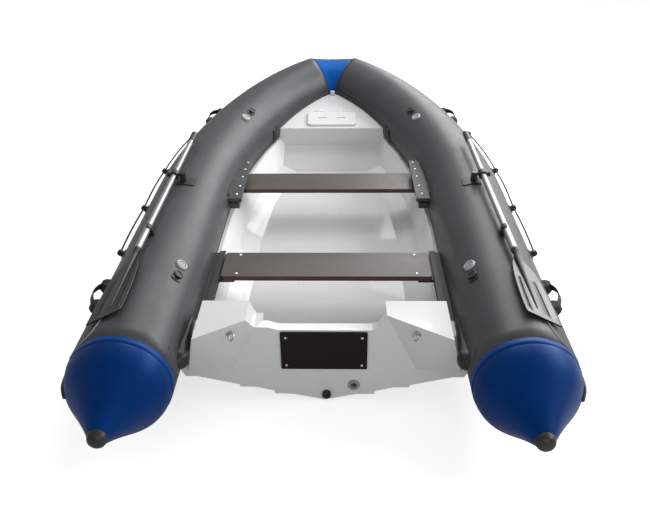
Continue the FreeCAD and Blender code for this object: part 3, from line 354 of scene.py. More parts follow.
def make_materials():
    return {
        "tube_fabric": coated_fabric("tube_fabric", (0.050, 0.051, 0.054), (0.061, 0.062, 0.066), 0.42),
        "blue_fabric": coated_fabric(
            "blue_fabric", BOW_BLUE, [c * 1.15 for c in BOW_BLUE], 0.46, 0.3, BLUE_SHEEN),
        "cone_fabric": coated_fabric(
            "cone_fabric", (0.0002, 0.020, 0.115), (0.0003, 0.025, 0.140), 0.44, 0.3, BLUE_SHEEN),
        "cone_band": coated_fabric(
            "cone_band", (0.0003, 0.029, 0.155), (0.0004, 0.035, 0.185), 0.44, 0.3, BLUE_SHEEN),
        "black_rubber": plain("black_rubber", (0.012, 0.012, 0.013), 0.45),
        "grey_rubber": plain("grey_rubber", (0.030, 0.030, 0.032), 0.6, bump=0.0006),
        "patch_rubber": ribbed_rubber("patch_rubber", (0.020, 0.020, 0.021), 0.006),
        "light_tape": plain("light_tape", (0.26, 0.265, 0.275), 0.45, spread=0.05),
        "white_gelcoat": plain("white_gelcoat", WHITE, 0.16, spread=0.015, scale=6.0, bump=0.00005, coat=0.3),
        # The hull and cockpit mouldings take a lighter copy of the transom's white gelcoat: the extra
        # lightness is painted light.
        "lit_floor_gelcoat": moulded_floor("lit_floor_gelcoat", (0.77, 0.775, 0.77)),
        "plywood": film_faced_board("plywood", (0.078, 0.062, 0.052), (0.068, 0.026, 0.017)),
        "motor_pad_board": speckled_board(
            "motor_pad_board", (0.003, 0.0015, 0.0012), (0.010, 0.0055, 0.0042)),
        "bracket_metal": plain(
            "bracket_metal", (0.045, 0.046, 0.048), 0.40, spread=0.4, scale=160.0, bump=0.0006),
        "steel": plain("steel", (0.62, 0.62, 0.63), 0.22, metallic=1.0, bump=0.0),
        "oar_aluminium": plain(
            "oar_aluminium", (0.36, 0.36, 0.37), 0.38, spread=0.03, metallic=1.0, bump=0.0001),
        "blade_plastic": plain("blade_plastic", (0.012, 0.012, 0.013), 0.30, bump=0.0001),
        "black_plastic": plain("black_plastic", (0.014, 0.014, 0.015), 0.42),
        "grey_plastic": plain("grey_plastic", (0.28, 0.285, 0.29), 0.4),
        "valve_plastic": plain("valve_plastic", (0.36, 0.37, 0.38), 0.35),
        "black_cord": plain("black_cord", (0.012, 0.012, 0.013), 0.7, bump=0.0004),
    }


MATERIALS = make_materials()
SLOT_OF = {row["node"]: row["material_slot"] for row in frame["record"]["subparts"]}
MOULDED = ("hull", "hull_flanges", "cockpit_liner")


def dress_nodes():
    for name, obj in NODES.items():
        slots = obj.data.materials
        material = MATERIALS["lit_floor_gelcoat" if name in MOULDED else SLOT_OF[name]]
        for index in range(len(slots)):
            slots[index] = material
        if not slots:
            slots.append(material)


# Mesh helpers

def finish_mesh(name, verts, faces, material, smooth=True):
    data = bpy.data.meshes.new(name)
    data.from_pydata([tuple(v) for v in verts], [], faces)
    data.validate()
    made = bpy.data.objects.new(name, data)
    bpy.context.scene.collection.objects.link(made)
    data.materials.append(material)
    if smooth:
        data.polygons.foreach_set("use_smooth", [True] * len(data.polygons))
    tidy = bmesh.new()
    tidy.from_mesh(data)
    bmesh.ops.recalc_face_normals(tidy, faces=tidy.faces)
    tidy.to_mesh(data)
    tidy.free()
    return made


def grid_faces(rows, columns, wrap=False):
    """Four-sided faces between rows of points, closed round each row where asked."""
    faces = []
    for i in range(rows - 1):
        for j in range(columns if wrap else columns - 1):
            a = i * columns + j
            b = i * columns + (j + 1) % columns
            faces.append((a, b, b + columns, a + columns))
    return faces


NORMAL_WEIGHT = 80


def weight_normals(piece):
    """Shading that keeps large faces flat beside narrow rounded ones."""
    piece.modifiers.new("normals", "WEIGHTED_NORMAL").weight = NORMAL_WEIGHT


# Camera, light and floor

CAMERA_PLACE = (0.075, -3.452, 1.925)
CAMERA_PITCH = 0.537
CAMERA_YAW = -0.029
CAMERA_ROLL = -0.014
FOCAL_PIXELS = 733.7
PHOTO_WIDTH = 650
SENSOR_MM = 36.0
KEEL = -0.110
FLOOR_REACH = 30.0
FLOOR_DROP = 0.001
FLOOR_GLOW = 0.64
WORLD_STRENGTH = 0.44
LIGHTS = (
    # name, place, target, width and height, watts
    ("key_right", (3.5, 0.4, 2.35), (0.0, 0.1, 0.15), (4.4, 1.6), 140),
    ("bow_right", (2.7, 4.4, 2.4), (0.2, 0.2, 0.15), (4.6, 2.8), 185),
    ("overhead", (0.1, 1.9, 3.4), (0.0, 0.9, 0.0), (1.6, 1.8), 50),
    ("behind_camera", (0.9, -5.2, 2.4), (0.0, -1.0, 0.1), (3.0, 1.6), 42),
)


def make_camera():
    data = bpy.data.cameras.new("camera")
    data.sensor_width = SENSOR_MM
    data.lens = FOCAL_PIXELS / PHOTO_WIDTH * SENSOR_MM
    data.clip_end = 100
    camera = bpy.data.objects.new("camera", data)
    bpy.context.scene.collection.objects.link(camera)
    flat = math.cos(CAMERA_PITCH)
    ahead = Vector((math.sin(CAMERA_YAW) * flat, math.cos(CAMERA_YAW) * flat, -math.sin(CAMERA_PITCH)))
    level = Vector((math.cos(CAMERA_YAW), -math.sin(CAMERA_YAW), 0))
    above = level.cross(ahead)
    right = level * math.cos(CAMERA_ROLL) + above * math.sin(CAMERA_ROLL)
    top = above * math.cos(CAMERA_ROLL) - level * math.sin(CAMERA_ROLL)
    camera.matrix_world = frame_matrix(right, top, ahead * -1, CAMERA_PLACE)
    bpy.context.scene.camera = camera


def area_light(name, place, target, size, power):
    data = bpy.data.lights.new(name, "AREA")
    data.shape = "RECTANGLE"
    data.size, data.size_y = size
    data.energy = power
    lamp = bpy.data.objects.new(name, data)
    lamp.location = place
    lamp.visible_camera = False
    lamp.rotation_euler = (Vector(target) - Vector(place)).to_track_quat("-Z", "Y").to_euler()
    bpy.context.scene.collection.objects.link(lamp)


def seen_strength(tree, unseen, seen):
    """A strength for what lights the boat, and another for what the camera sees."""
    path = node(tree, "ShaderNodeLightPath")
    return mapped(tree, path.outputs["Is Camera Ray"], 0, 1, unseen, seen)


def make_world():
    world = bpy.data.worlds.new("studio")
    bpy.context.scene.world = world
    world.use_nodes = True
    tree = world.node_tree
    background = tree.nodes["Background"]
    background.inputs["Color"].default_value = (1, 1, 1, 1)
    tree.links.new(seen_strength(tree, WORLD_STRENGTH, 1.0), background.inputs["Strength"])


def make_floor():
    level = KEEL - FLOOR_DROP
    turns = ((-1, -1), (1, -1), (1, 1), (-1, 1))
    corners = [(x * FLOOR_REACH, y * FLOOR_REACH, level) for x, y in turns]
    made, tree, bsdf = shader("studio_floor")
    bsdf.inputs["Base Color"].default_value = (0.7, 0.7, 0.7, 1)
    bsdf.inputs["Roughness"].default_value = 0.9
    bsdf.inputs["Specular IOR Level"].default_value = 0.1
    bsdf.inputs["Emission Color"].default_value = (1, 1, 1, 1)
    tree.links.new(seen_strength(tree, 0.0, FLOOR_GLOW), bsdf.inputs["Emission Strength"])
    floor = finish_mesh("floor", corners, [(0, 1, 2, 3)], made, smooth=False)


def make_studio():
    make_camera()
    make_world()
    for light in LIGHTS:
        area_light(*light)
    make_floor()
    bpy.context.scene.view_settings.view_transform = "Standard"


make_studio()
dress_nodes()

# Tubes, bow section and cones

MITRE_OUTBOARD = Vector((-1, 0, 0))
RING_STEPS = 84
STRAIGHT_RINGS = 24
BENT_RINGS = 34
SHEAR_START = 1.300
SHEAR_RINGS = 12
MITRE_HALVINGS = 30
BOW_STEPS = 8
BOW_SAG = 0.007
BOW_CREST = 0.0012
# How far the grey fabric stops short of the mitre. The angles are from the tube's top, outboard positive:
# it starts at the inner one, rises to the whole within the next figure, and dies out again at the outer one
LAP = 0.028
LAP_INNER = -85
LAP_INNER_RISE = 70
LAP_OUTER = 150
LAP_OUTER_FALL = 90
LAP_TURN = 60


def bow_run():
    climb = 2 * SHEER / (BOW_Y - KNEE_Y) * math.sin(BOW_TURN)
    return Vector((-math.cos(BOW_TURN), math.sin(BOW_TURN), climb)).normalized()


BOW_RUN = bow_run()
BOW_CORNER = axis_at(BOW_Y)
MITRE_NORMAL = (BOW_RUN + MITRE_OUTBOARD).normalized()


def tube_point(y, degrees, radius):
    """A point of the starboard tube, whose line runs on straight past the bow corner."""
    if y <= BOW_Y:
        return axis_at(y) + out_at(y, degrees) * radius
    return axis_at(BOW_Y) + BOW_RUN * ((y - BOW_Y) / BOW_RUN.y) + out_at(BOW_Y, degrees) * radius


def mitre_station(degrees, radius):
    """Where a line along the tube meets the mitre plane."""
    low, high = SHEAR_START, BOW_Y + radius
    for _ in range(MITRE_HALVINGS):
        middle = (low + high) / 2
        if (tube_point(middle, degrees, radius) - BOW_CORNER).dot(MITRE_NORMAL) < 0:
            low = middle
        else:
            high = middle
    return low


def ring_angles(steps=RING_STEPS):
    return [360 * k / steps for k in range(steps)]


def bow_edge(degrees):
    """Where the grey fabric gives way to the blue: behind the mitre over the tube's top, on it below."""
    turn = (degrees + 180) % 360 - 180
    if turn < LAP_TURN:
        share = min(1.0, max(0.0, (turn - LAP_INNER) / LAP_INNER_RISE))
    else:
        share = max(0.0, (LAP_OUTER - turn) / LAP_OUTER_FALL)
    return mitre_station(degrees, TUBE_RADIUS) - LAP * share * share * (3 - 2 * share)


def tube_rings():
    """Rings of the starboard tube, square to it at the stern and turned onto the blue edge at the bow."""
    ends = {a: bow_edge(a) for a in ring_angles()}
    rings = []
    for y in spaced(SEAM_Y, KNEE_Y, STRAIGHT_RINGS)[:-1] + spaced(KNEE_Y, SHEAR_START, BENT_RINGS):
        rings.append([tube_point(y, a, TUBE_RADIUS) for a in ring_angles()])
    for step in range(1, SHEAR_RINGS + 1):
        share = step / SHEAR_RINGS
        stations = [SHEAR_START + (ends[a] - SHEAR_START) * share for a in ring_angles()]
        rings.append([tube_point(y, a, TUBE_RADIUS) for y, a in zip(stations, ring_angles())])
    return rings


def mirrored(point, side):
    return Vector((point.x * side, point.y, point.z))


def swept_mesh(name, rings, material):
    """A skin over closed rings, with its two ends closed."""
    count = len(rings[0])
    verts = [point for ring in rings for point in ring]
    faces = grid_faces(len(rings), count, wrap=True)
    faces.append(tuple(range(count)))
    faces.append(tuple((len(rings) - 1) * count + k for k in range(count)))
    return finish_mesh(name, verts, faces, material)


def open_sheet(name, rows, material):
    """A skin over open rows of points."""
    verts = [point for row in rows for point in row]
    return finish_mesh(name, verts, grid_faces(len(rows), len(rows[0])), material)


def make_tubes(rings):
    for name, side in SIDES:
        sided = [[mirrored(p, side) for p in ring] for ring in rings]
        tube = swept_mesh(f"tube_skin_{name}", sided, MATERIALS["tube_fabric"])
        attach(tube, "boat")
        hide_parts(f"tube_{name}")


def make_bow_section(corner):
    """The blue section between the tubes' last rings, slightly sunk towards a crease in the middle."""
    centre = Vector((0, BOW_Y, AXIS_HEIGHT + SHEER))
    across = []
    for step in range(2 * BOW_STEPS + 1):
        share = 1 - step / BOW_STEPS
        sag = BOW_SAG * (1 - share * share) - (BOW_CREST if step == BOW_STEPS else 0)
        ring = []
        for point in corner:
            inward = Vector((0, centre.y - point.y, centre.z - point.z)).normalized()
            ring.append(Vector((point.x * share, point.y, point.z)) + inward * sag)
        across.append(ring)
    bow = swept_mesh("bow_skin", across, MATERIALS["blue_fabric"])
    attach(bow, "boat")
    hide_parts("bow_section")


CONE_POLES = ((0.0, 0.190), (0.124, 0.190), (0.108, 0.148), (0.293, 0.033))
CONE_STEPS = 96
CONE_LINES = 60
BAND_END = 0.030
BAND_RINGS = 3
GROOVE = 0.0014
CAP_LIP = 0.004
CAP_START = 0.006
CAP_ROUND = 0.020
CAP_FLAT = 0.008
CAP_EDGE = 0.0245
CAP_POINT = 0.0002


def cone_profile(share):
    """The cone's distance behind the seam and its radius, at a share of its curve."""
    rest = 1 - share
    weights = (rest ** 3, 3 * share * rest ** 2, 3 * share ** 2 * rest, share ** 3)
    along = sum(pole[0] * w for pole, w in zip(CONE_POLES, weights))
    radius = sum(pole[1] * w for pole, w in zip(CONE_POLES, weights))
    return along, radius


def stern_ring(along, radius, side):
    """A ring behind the seam, square to the tube."""
    run = run_at(SEAM_Y)
    _, outboard, top = axes_at(SEAM_Y)
    centre = axis_at(SEAM_Y) - run * along
    ring = []
    for degrees in ring_angles(CONE_STEPS):
        angle = math.radians(degrees)
        ring.append(mirrored(centre + (top * math.cos(angle) + outboard * math.sin(angle)) * radius, side))
    return ring


def cone_lines():
    """The cone's profile from the seam, with the raised edge of the lapped fabric at its start."""
    lines = [(0.0, 0.1903), (BAND_END - 0.001, 0.1902)]
    lines += [(BAND_END, 0.1895 - GROOVE), (BAND_END + 0.002, 0.1893 - GROOVE)]
    for step in range(1, CONE_LINES + 1):
        along, radius = cone_profile(step / CONE_LINES)
        if along > BAND_END + 0.004:
            lines.append((along, radius))
    return lines


def cap_lines():
    """The cap's profile: a lip over the cone's end and a rounded crown."""
    along, radius = CONE_POLES[-1]
    lines = [(along - CAP_LIP, radius + 0.0005), (along - CAP_LIP, radius + 0.003), (along, radius + 0.0022)]
    for degrees in range(9, 91, 9):
        angle = math.radians(degrees)
        lines.append((along + CAP_START + CAP_ROUND * math.sin(angle), CAP_FLAT + CAP_EDGE * math.cos(angle)))
    lines.append((along + CAP_START + CAP_ROUND, CAP_POINT))
    return lines


def make_cones():
    for name, side in SIDES:
        rings = [stern_ring(along, radius, side) for along, radius in cone_lines()]
        cone = swept_mesh(f"cone_skin_{name}", rings, MATERIALS["cone_fabric"])
        cone.data.materials.append(MATERIALS["cone_band"])
        for face in cone.data.polygons:
            if max(face.vertices) < BAND_RINGS * CONE_STEPS:
                face.material_index = 1
        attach(cone, "boat")
        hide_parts(f"cone_{name}")
    for name, side in SIDES:
        rings = [stern_ring(along, radius, side) for along, radius in cap_lines()]
        cap = swept_mesh(f"cap_{name}", rings, MATERIALS["black_rubber"])
        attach(cap, "boat")
        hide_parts("cone_caps")


TUBE_RINGS = tube_rings()
make_tubes(TUBE_RINGS)
make_bow_section(TUBE_RINGS[-1])
make_cones()

# Pieces of the frame with their sharp edges rounded

def world_mesh(name):
    data = NODES[name].data.copy()
    data.transform(NODES[name].matrix_world)
    return data


SHARP_DEGREES = 26
FLAT_DEGREES = 0.6
WELD = 1e-5
# Each piece with the width of its rounding and its material
EDGED = (
    ("transom", 0.004, "white_gelcoat"),
    ("bow_locker", 0.003, "white_gelcoat"),
    ("motor_pads", 0.0012, "motor_pad_board"),
    ("seat_rails", 0.0012, "patch_rubber"),
    ("thwart_feet", 0.0012, "black_rubber"),
    ("thwart_brackets", 0.001, "bracket_metal"),
)


def edged_copy(name, width, material):
    """A copy of a rigid piece of the frame whose sharp edges are rounded."""
    data = world_mesh(name)
    data.materials.clear()
    data.materials.append(MATERIALS[material])
    tidy = bmesh.new()
    tidy.from_mesh(data)
    bmesh.ops.remove_doubles(tidy, verts=tidy.verts, dist=WELD)
    flat = math.radians(FLAT_DEGREES)
    bmesh.ops.dissolve_limit(tidy, angle_limit=flat, verts=tidy.verts, edges=tidy.edges)
    sharp = []
    for edge in tidy.edges:
        if len(edge.link_faces) == 2 and edge.calc_face_angle() > math.radians(SHARP_DEGREES):
            sharp.append(edge)
    bmesh.ops.bevel(
        tidy, geom=sharp, offset=width, segments=3, profile=0.5, affect="EDGES", clamp_overlap=True)
    for face in tidy.faces:
        face.smooth = True
    tidy.to_mesh(data)
    tidy.free()
    made = bpy.data.objects.new(f"{name}_edged", data)
    bpy.context.scene.collection.objects.link(made)
    weight_normals(made)
    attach(made, "boat")
    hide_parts(name)


for piece_name, rounding, piece_material in EDGED:
    edged_copy(piece_name, rounding, piece_material)

# Screws, bolts, valves and seat plates

TURNED_STEPS = 32
# Profiles from the middle outwards: radius and height over the seat
SCREW = ((0.0, 0.0008), (0.0016, 0.0008), (0.0019, 0.0023), (0.0042, 0.0017), (0.0056, 0.0004),
         (0.0058, -0.0006))
BOLT = ((0.0, 0.0036), (0.0040, 0.0034), (0.0066, 0.0020), (0.0078, 0.0002), (0.0080, -0.0008))
VALVE = ((0.0, 0.0052), (0.0022, 0.0052), (0.0026, 0.0074), (0.0110, 0.0080), (0.0128, 0.0074),
         (0.0134, 0.0046), (0.0165, 0.0044), (0.0172, 0.0080), (0.0190, 0.0090), (0.0232, 0.0086),
         (0.0252, 0.0066), (0.0262, 0.0010), (0.0262, -0.0030))


def placed_at(place, out):
    """A frame with its Z along a direction."""
    turn = Vector(out).to_track_quat("Z", "Y").to_matrix().to_4x4()
    return Matrix.Translation(place) @ turn


def turned(name, profile, matrix, material):
    """A body of revolution about the frame's Z, closed at the middle."""
    verts = [matrix @ Vector((0, 0, profile[0][1]))]
    for radius, height in profile[1:]:
        for degrees in ring_angles(TURNED_STEPS):
            angle = math.radians(degrees)
            verts.append(matrix @ Vector((radius * math.cos(angle), radius * math.sin(angle), height)))
    faces = [(0, 1 + k, 1 + (k + 1) % TURNED_STEPS) for k in range(TURNED_STEPS)]
    for face in grid_faces(len(profile) - 1, TURNED_STEPS, wrap=True):
        faces.append(tuple(index + 1 for index in face))
    made = finish_mesh(name, verts, faces, MATERIALS[material])
    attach(made, "boat")
    return made


def struck(name, start, direction):
    """Where a straight line first meets a piece of the frame, and the surface's direction there."""
    data = world_mesh(name)
    corners = [vertex.co.copy() for vertex in data.vertices]
    tree = BVHTree.FromPolygons(corners, [tuple(face.vertices) for face in data.polygons])
    place, out, _, _ = tree.ray_cast(Vector(start), Vector(direction))
    bpy.data.meshes.remove(data)
    return place, out


PAD_SCREWS = ((0.148, 0.207), (0.148, 0.073))
THWART_BOLTS = ((0.394, -0.590), (0.394, -0.748))
CLAMP_SCREW = (0.474, -0.055)
BEHIND_BOAT = -1.5
OVER_SEATS = 0.5
PLATE_CORNERS = ((0.445, -0.092, 0.262), (0.516, -0.092, 0.262), (0.505, 0.340, 0.281), (0.438, 0.340, 0.281))
PLATE_SCREWS = ((0.30, 0.95), (0.36, 0.75), (0.40, 0.55), (0.40, 0.31), (0.46, 0.10))
PLATE_THICK = 0.004
PLATE_EASE = 0.0012
PLATE_SHARES = (0.0, 0.02, 0.5, 0.98, 1.0)
# Shares of the plate's length, with the drop of its turned-down end and of its eased one
PLATE_ROWS = ((-0.008, 0.016), (-0.007, 0.004), (0.0, 0.0), (0.5, 0.0), (0.994, 0.0), (1.0, 0.0015))


def fasteners():
    for name, side in SIDES:
        for count, (x, z) in enumerate(PAD_SCREWS):
            place, out = struck("motor_pads", (x * side, BEHIND_BOAT, z), (0, 1, 0))
            turned(f"pad_screw_{name}_{count}", SCREW, placed_at(place, out), "steel")
        for count, (x, y) in enumerate(THWART_BOLTS):
            place, out = struck("thwart_rear", (x * side, y, OVER_SEATS), (0, 0, -1))
            turned(f"thwart_bolt_{name}_{count}", BOLT, placed_at(place, out), "steel")
        x, y = CLAMP_SCREW
        place, out = struck("thwart_brackets", (x * side, y, OVER_SEATS), (0, 0, -1))
        turned(f"clamp_screw_{name}", SCREW, placed_at(place, out), "steel")


def seat_plates():
    """The flat plates over the front thwart's ends, on the shoulders of the tubes, with a turned-down end."""
    near_in, near_out, far_out, far_in = (Vector(corner) for corner in PLATE_CORNERS)
    for name, side in SIDES:
        rows = []
        for along, drop in PLATE_ROWS:
            inner = near_in.lerp(far_in, along) - UP * drop
            outer = near_out.lerp(far_out, along) - UP * drop
            row = []
            for share in PLATE_SHARES:
                row.append(inner.lerp(outer, share) - UP * (PLATE_EASE if share in (0.0, 1.0) else 0))
            row += [point - UP * PLATE_THICK for point in row[::-1]]
            rows.append([mirrored(point, side) for point in row])
        plate = swept_mesh(f"seat_plate_{name}", rows, MATERIALS["bracket_metal"])
        weight_normals(plate)
        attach(plate, "boat")
        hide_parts("thwart_brackets")
        for count, (across, along) in enumerate(PLATE_SCREWS):
            place = near_in.lerp(far_in, along).lerp(near_out.lerp(far_out, along), across)
            matrix = placed_at(mirrored(place, side), UP)
            turned(f"plate_screw_{name}_{count}", BOLT, matrix, "steel")


VALVE_SPOTS = (("rear", -0.912, -41), ("front", 0.725, -30))


def valves():
    for name, side in SIDES:
        for end, y, degrees in VALVE_SPOTS:
            out = mirrored(out_at(y, degrees), side)
            matrix = placed_at(mirrored(skin_at(y, degrees), side), out)
            valve = turned(f"valve_{end}_{name}", VALVE, matrix, "valve_plastic")
            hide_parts("valves")


fasteners()
seat_plates()
valves()

# Sheets and bands laid on the tubes

SHEET_EDGE = 0.0002
SHEET_COLUMNS = 14
MOUND_COLUMNS = 17
MOUND_GAP = 0.0003


def skin_sheet(name, rows, thick, material, steps=SHEET_COLUMNS):
    """A sheet on each tube. A row is a station and the two angles that it runs between."""
    lines = []
    rows = [rows[0]] + list(rows) + [rows[-1]]
    for place, (y, first, last) in enumerate(rows):
        height = SHEET_EDGE if place in (0, len(rows) - 1) else thick
        line = [tube_point(y, first, TUBE_RADIUS + SHEET_EDGE)]
        line += [tube_point(y, angle, TUBE_RADIUS + height) for angle in spaced(first, last, steps)]
        line.append(tube_point(y, last, TUBE_RADIUS + SHEET_EDGE))
        lines.append(line)
    for side_name, side in SIDES:
        sided = [[mirrored(point, side) for point in line] for line in lines]
        sheet = open_sheet(f"{name}_{side_name}", sided, MATERIALS[material])
        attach(sheet, "boat")


# Stations of the chafe patch with the angle of its inner edge
CHAFE_EDGE = ((-1.150, 22), (-1.230, 23), (-1.290, 24), (-1.330, 25), (-1.365, 27), (-1.395, 29.5),
              (-1.417, 33), (-1.431, 38), (-1.440, 44), (-1.4455, 52), (-1.447, 62))
CHAFE_OUTER = 78
TAPE_SHIFT = 0.0015
TAPE_DEGREES = 1.0
CHAFE_ROWS = [(y, degrees, CHAFE_OUTER) for y, degrees in CHAFE_EDGE]
TAPE_ROWS = [(y - TAPE_SHIFT, degrees - TAPE_DEGREES, degrees) for y, degrees in CHAFE_EDGE]
skin_sheet("chafe_patch", CHAFE_ROWS, thick=0.0018, material="patch_rubber")
skin_sheet("chafe_edge", TAPE_ROWS, thick=0.0034, material="light_tape", steps=3)


def tube_mound(name, rows, material):
    """A rounded pad on each tube. A row is a station, the middle angle, half the width and the height."""
    for side_name, side in SIDES:
        lines = []
        for y, middle, half, height in rows:
            line = []
            for share in spaced(-1.0, 1.0, MOUND_COLUMNS):
                lift = height * math.sqrt(max(0.0, 1 - share * share)) + MOUND_GAP
                line.append(mirrored(tube_point(y, middle + half * share, TUBE_RADIUS + lift), side))
            lines.append(line)
        pad = open_sheet(f"{name}_{side_name}", lines, MATERIALS[material])
        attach(pad, "boat")
        yield pad


# The pad is black rubber all over: its edge is black rubber, and the black over its body is painted shade
# where the tube lies in shadow beside the transom.
GASKET_ROWS = (
    (-1.384, -88, 2, 0.0),
    (-1.381, -88, 5, 0.009),
    (-1.373, -88, 8, 0.020),
    (-1.362, -88, 10, 0.029),
    (-1.350, -88, 11, 0.034),
    (-1.338, -88, 11, 0.034),
    (-1.315, -89, 10.5, 0.029),
    (-1.280, -89, 10, 0.021),
    (-1.230, -90, 9, 0.015),
    (-1.150, -90, 8, 0.011),
    (-1.090, -91, 7, 0.010),
    (-1.085, -91, 5, 0.0),
)
for gasket_and_shade in tube_mound("transom_gasket", GASKET_ROWS, "black_rubber"):
    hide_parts("transom_gaskets")
RELIEF_EDGE = ((-1.376, -60), (-1.384, -60), (-1.392, -63), (-1.402, -68), (-1.412, -75), (-1.420, -84))
RELIEF_DEGREES = 2
RELIEF_ROWS = [(y, degrees, degrees - RELIEF_DEGREES) for y, degrees in RELIEF_EDGE]
skin_sheet("relief_seam", RELIEF_ROWS, thick=0.0012, material="grey_rubber", steps=3)

# Rubbing strakes with two ribs

# Degrees from the strake's middle and height over the fabric
STRAKE_PROFILE = ((-8.4, 0.0), (-8.2, 0.004), (-6.8, 0.0085), (-5.0, 0.0100), (-3.0, 0.0085), (0.0, 0.0068),
                  (3.0, 0.0085), (5.0, 0.0100), (6.8, 0.0085), (8.2, 0.004), (8.4, 0.0))
STRAKE_MIDDLE = 90
STRAKE_END = -1.556
STRAKE_GAP = 0.0004
STRAKE_STOP = 0.002
STRAKE_PINCH = 0.15
STRAKE_EASE = 0.045


def strake_base(y):
    """The radius that the strake lies on: the tube's, or the cone's behind the seam."""
    if y >= SEAM_Y:
        return TUBE_RADIUS
    return min(TUBE_RADIUS, max(cone_profile(share)[1] for share in spaced(0.0, 0.6, 121)
                                if cone_profile(share)[0] >= SEAM_Y - y))


def strake_rings():
    """Rings of the starboard strake, pinched at the stern and cut along the blue edge at the bow."""
    stations = spaced(STRAKE_END, SEAM_Y, 13)[:-1] + spaced(SEAM_Y, KNEE_Y, 20)[:-1]
    rings = []
    for y in stations + spaced(KNEE_Y, SHEAR_START, 40):
        pinch = min(1.0, STRAKE_PINCH + (y - STRAKE_END) / STRAKE_EASE)
        base = strake_base(y) + STRAKE_GAP
        ring = []
        for turn, height in STRAKE_PROFILE:
            ring.append(tube_point(y, STRAKE_MIDDLE + turn * pinch, base + height))
        rings.append(ring)
    ends = [bow_edge(STRAKE_MIDDLE + turn) - STRAKE_STOP for turn, _ in STRAKE_PROFILE]
    for share in spaced(0.0, 1.0, 16)[1:]:
        ring = []
        for end, (turn, height) in zip(ends, STRAKE_PROFILE):
            y = SHEAR_START + (end - SHEAR_START) * share
            ring.append(tube_point(y, STRAKE_MIDDLE + turn, TUBE_RADIUS + STRAKE_GAP + height))
        rings.append(ring)
    return rings


def strakes():
    rings = strake_rings()
    for name, side in SIDES:
        sided = [[mirrored(point, side) for point in ring] for ring in rings]
        strake = swept_mesh(f"strake_{name}", sided, MATERIALS["black_rubber"])
        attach(strake, "boat")
        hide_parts("rubbing_strakes")


strakes()

# Oar blades

OAR_SPREAD = math.radians(1.3)
OAR_FALL = math.radians(1.3)
BLADE_TILT = math.radians(22)
ROWLOCK_Y = -0.207
OAR_LIFT = 0.036
OAR_OFFSET = 0.040
# Share of the blade's length, then across and along of its inner and outer edge, in millimetres
BLADE_SIDES = (
    (0.0, -13, 742, 15, 735),
    (0.06, -22, 768, 34, 762),
    (0.15, -33, 806, 56, 804),
    (0.28, -42, 858, 69, 866),
    (0.42, -48, 912, 75, 922),
    (0.60, -52, 984, 78, 1000),
    (0.80, -54, 1062, 80, 1085),
    (0.94, -53, 1108, 80, 1134),
    (1.0, -50, 1120, 79, 1152),
)
BLADE_SHARES = (0.0, 0.02, 0.04, 0.06, 0.09, 0.12, 0.15, 0.19, 0.24, 0.28, 0.32, 0.355, 0.362,
                *spaced(0.40, 0.86, 12), 0.897, 0.904, 0.94, 0.97, 0.99, 1.0)
# Heights across the blade, in millimetres from the shaft's middle
BLADE_TOP = -6.0
BLADE_SHOULDER = -6.6
BLADE_EDGE = -8.5
BLADE_BELLY = -11.0
BLADE_UNDER = -10.6
SLOT_FLOOR = -10.2
# Shares of the blade's width
SLOT_MIDDLES = (0.185, 0.715)
SLOT_HALF = 0.022
SLOT_RIM = 0.004
# Shares of the blade's length, and the columns of faces that the slots take up
SLOT_SPAN = (0.36, 0.90)
SLOT_COLUMNS = (3, 4, 5, 9, 10, 11)
# Distance along the oar, radius and height of the middle, in millimetres
NECK = (
    (686, 14.6, 0.0),
    (688, 15.2, 0.0),
    (702, 15.2, 0.0),
    (706, 12.5, 0.0),
    (750, 10.8, -0.6),
    (830, 8.6, -2.2),
    (920, 6.4, -4.0),
    (1000, 4.8, -5.2),
    (1060, 3.8, -5.8),
    (1078, 3.0, -6.4),
    (1086, 0.6, -8.0),
)
NECK_STEPS = 20
MILLIMETRES = 1000


def oar_frame(side):
    """The oar's frame at rest: X outboard, Y up and Z aft along the shaft."""
    level = math.cos(OAR_SPREAD) * math.cos(OAR_FALL)
    aft = Vector((math.sin(OAR_SPREAD), -level, -math.sin(OAR_FALL))).normalized()
    outboard = UP.cross(aft).normalized()
    above = aft.cross(outboard)
    place = axis_at(ROWLOCK_Y) + UP * (TUBE_RADIUS + OAR_LIFT) + Vector((OAR_OFFSET, 0, 0))
    local = frame_matrix(outboard, above, aft, place)
    return Matrix.Diagonal((side, 1, 1, 1)) @ local @ Matrix.Rotation(-BLADE_TILT, 4, "Z")


def blade_side(share, column):
    """One of the blade's outlines at a share of its length."""
    return float(np.interp(share, [row[0] for row in BLADE_SIDES], [row[column] for row in BLADE_SIDES]))


def blade_columns(share):
    """Across the blade from inboard: the share of its width and the height of its two faces."""
    floor = SLOT_FLOOR if SLOT_SPAN[0] < share < SLOT_SPAN[1] else BLADE_TOP
    top = [(0.0, BLADE_EDGE), (0.008, BLADE_SHOULDER), (0.03, BLADE_TOP)]
    for middle in SLOT_MIDDLES:
        top += [(middle - SLOT_HALF - SLOT_RIM, BLADE_TOP), (middle - SLOT_HALF, floor)]
        top += [(middle + SLOT_HALF, floor), (middle + SLOT_HALF + SLOT_RIM, BLADE_TOP)]
        if middle < 0.5:
            top += [(0.35, BLADE_TOP), (0.45, BLADE_TOP)]
    top += [(0.97, BLADE_TOP), (0.992, BLADE_SHOULDER), (1.0, BLADE_EDGE)]
    return top + [(0.992, BLADE_UNDER), (0.5, BLADE_BELLY), (0.008, BLADE_UNDER)]


def blade_rows(matrix):
    rows = []
    for share in BLADE_SHARES:
        left, left_along, right, right_along = (blade_side(share, column) for column in (1, 2, 3, 4))
        row = []
        for across, height in blade_columns(share):
            along = left_along + (right_along - left_along) * across
            row.append(matrix @ (Vector((left + (right - left) * across, height, along)) / MILLIMETRES))
        rows.append(row)
    return rows


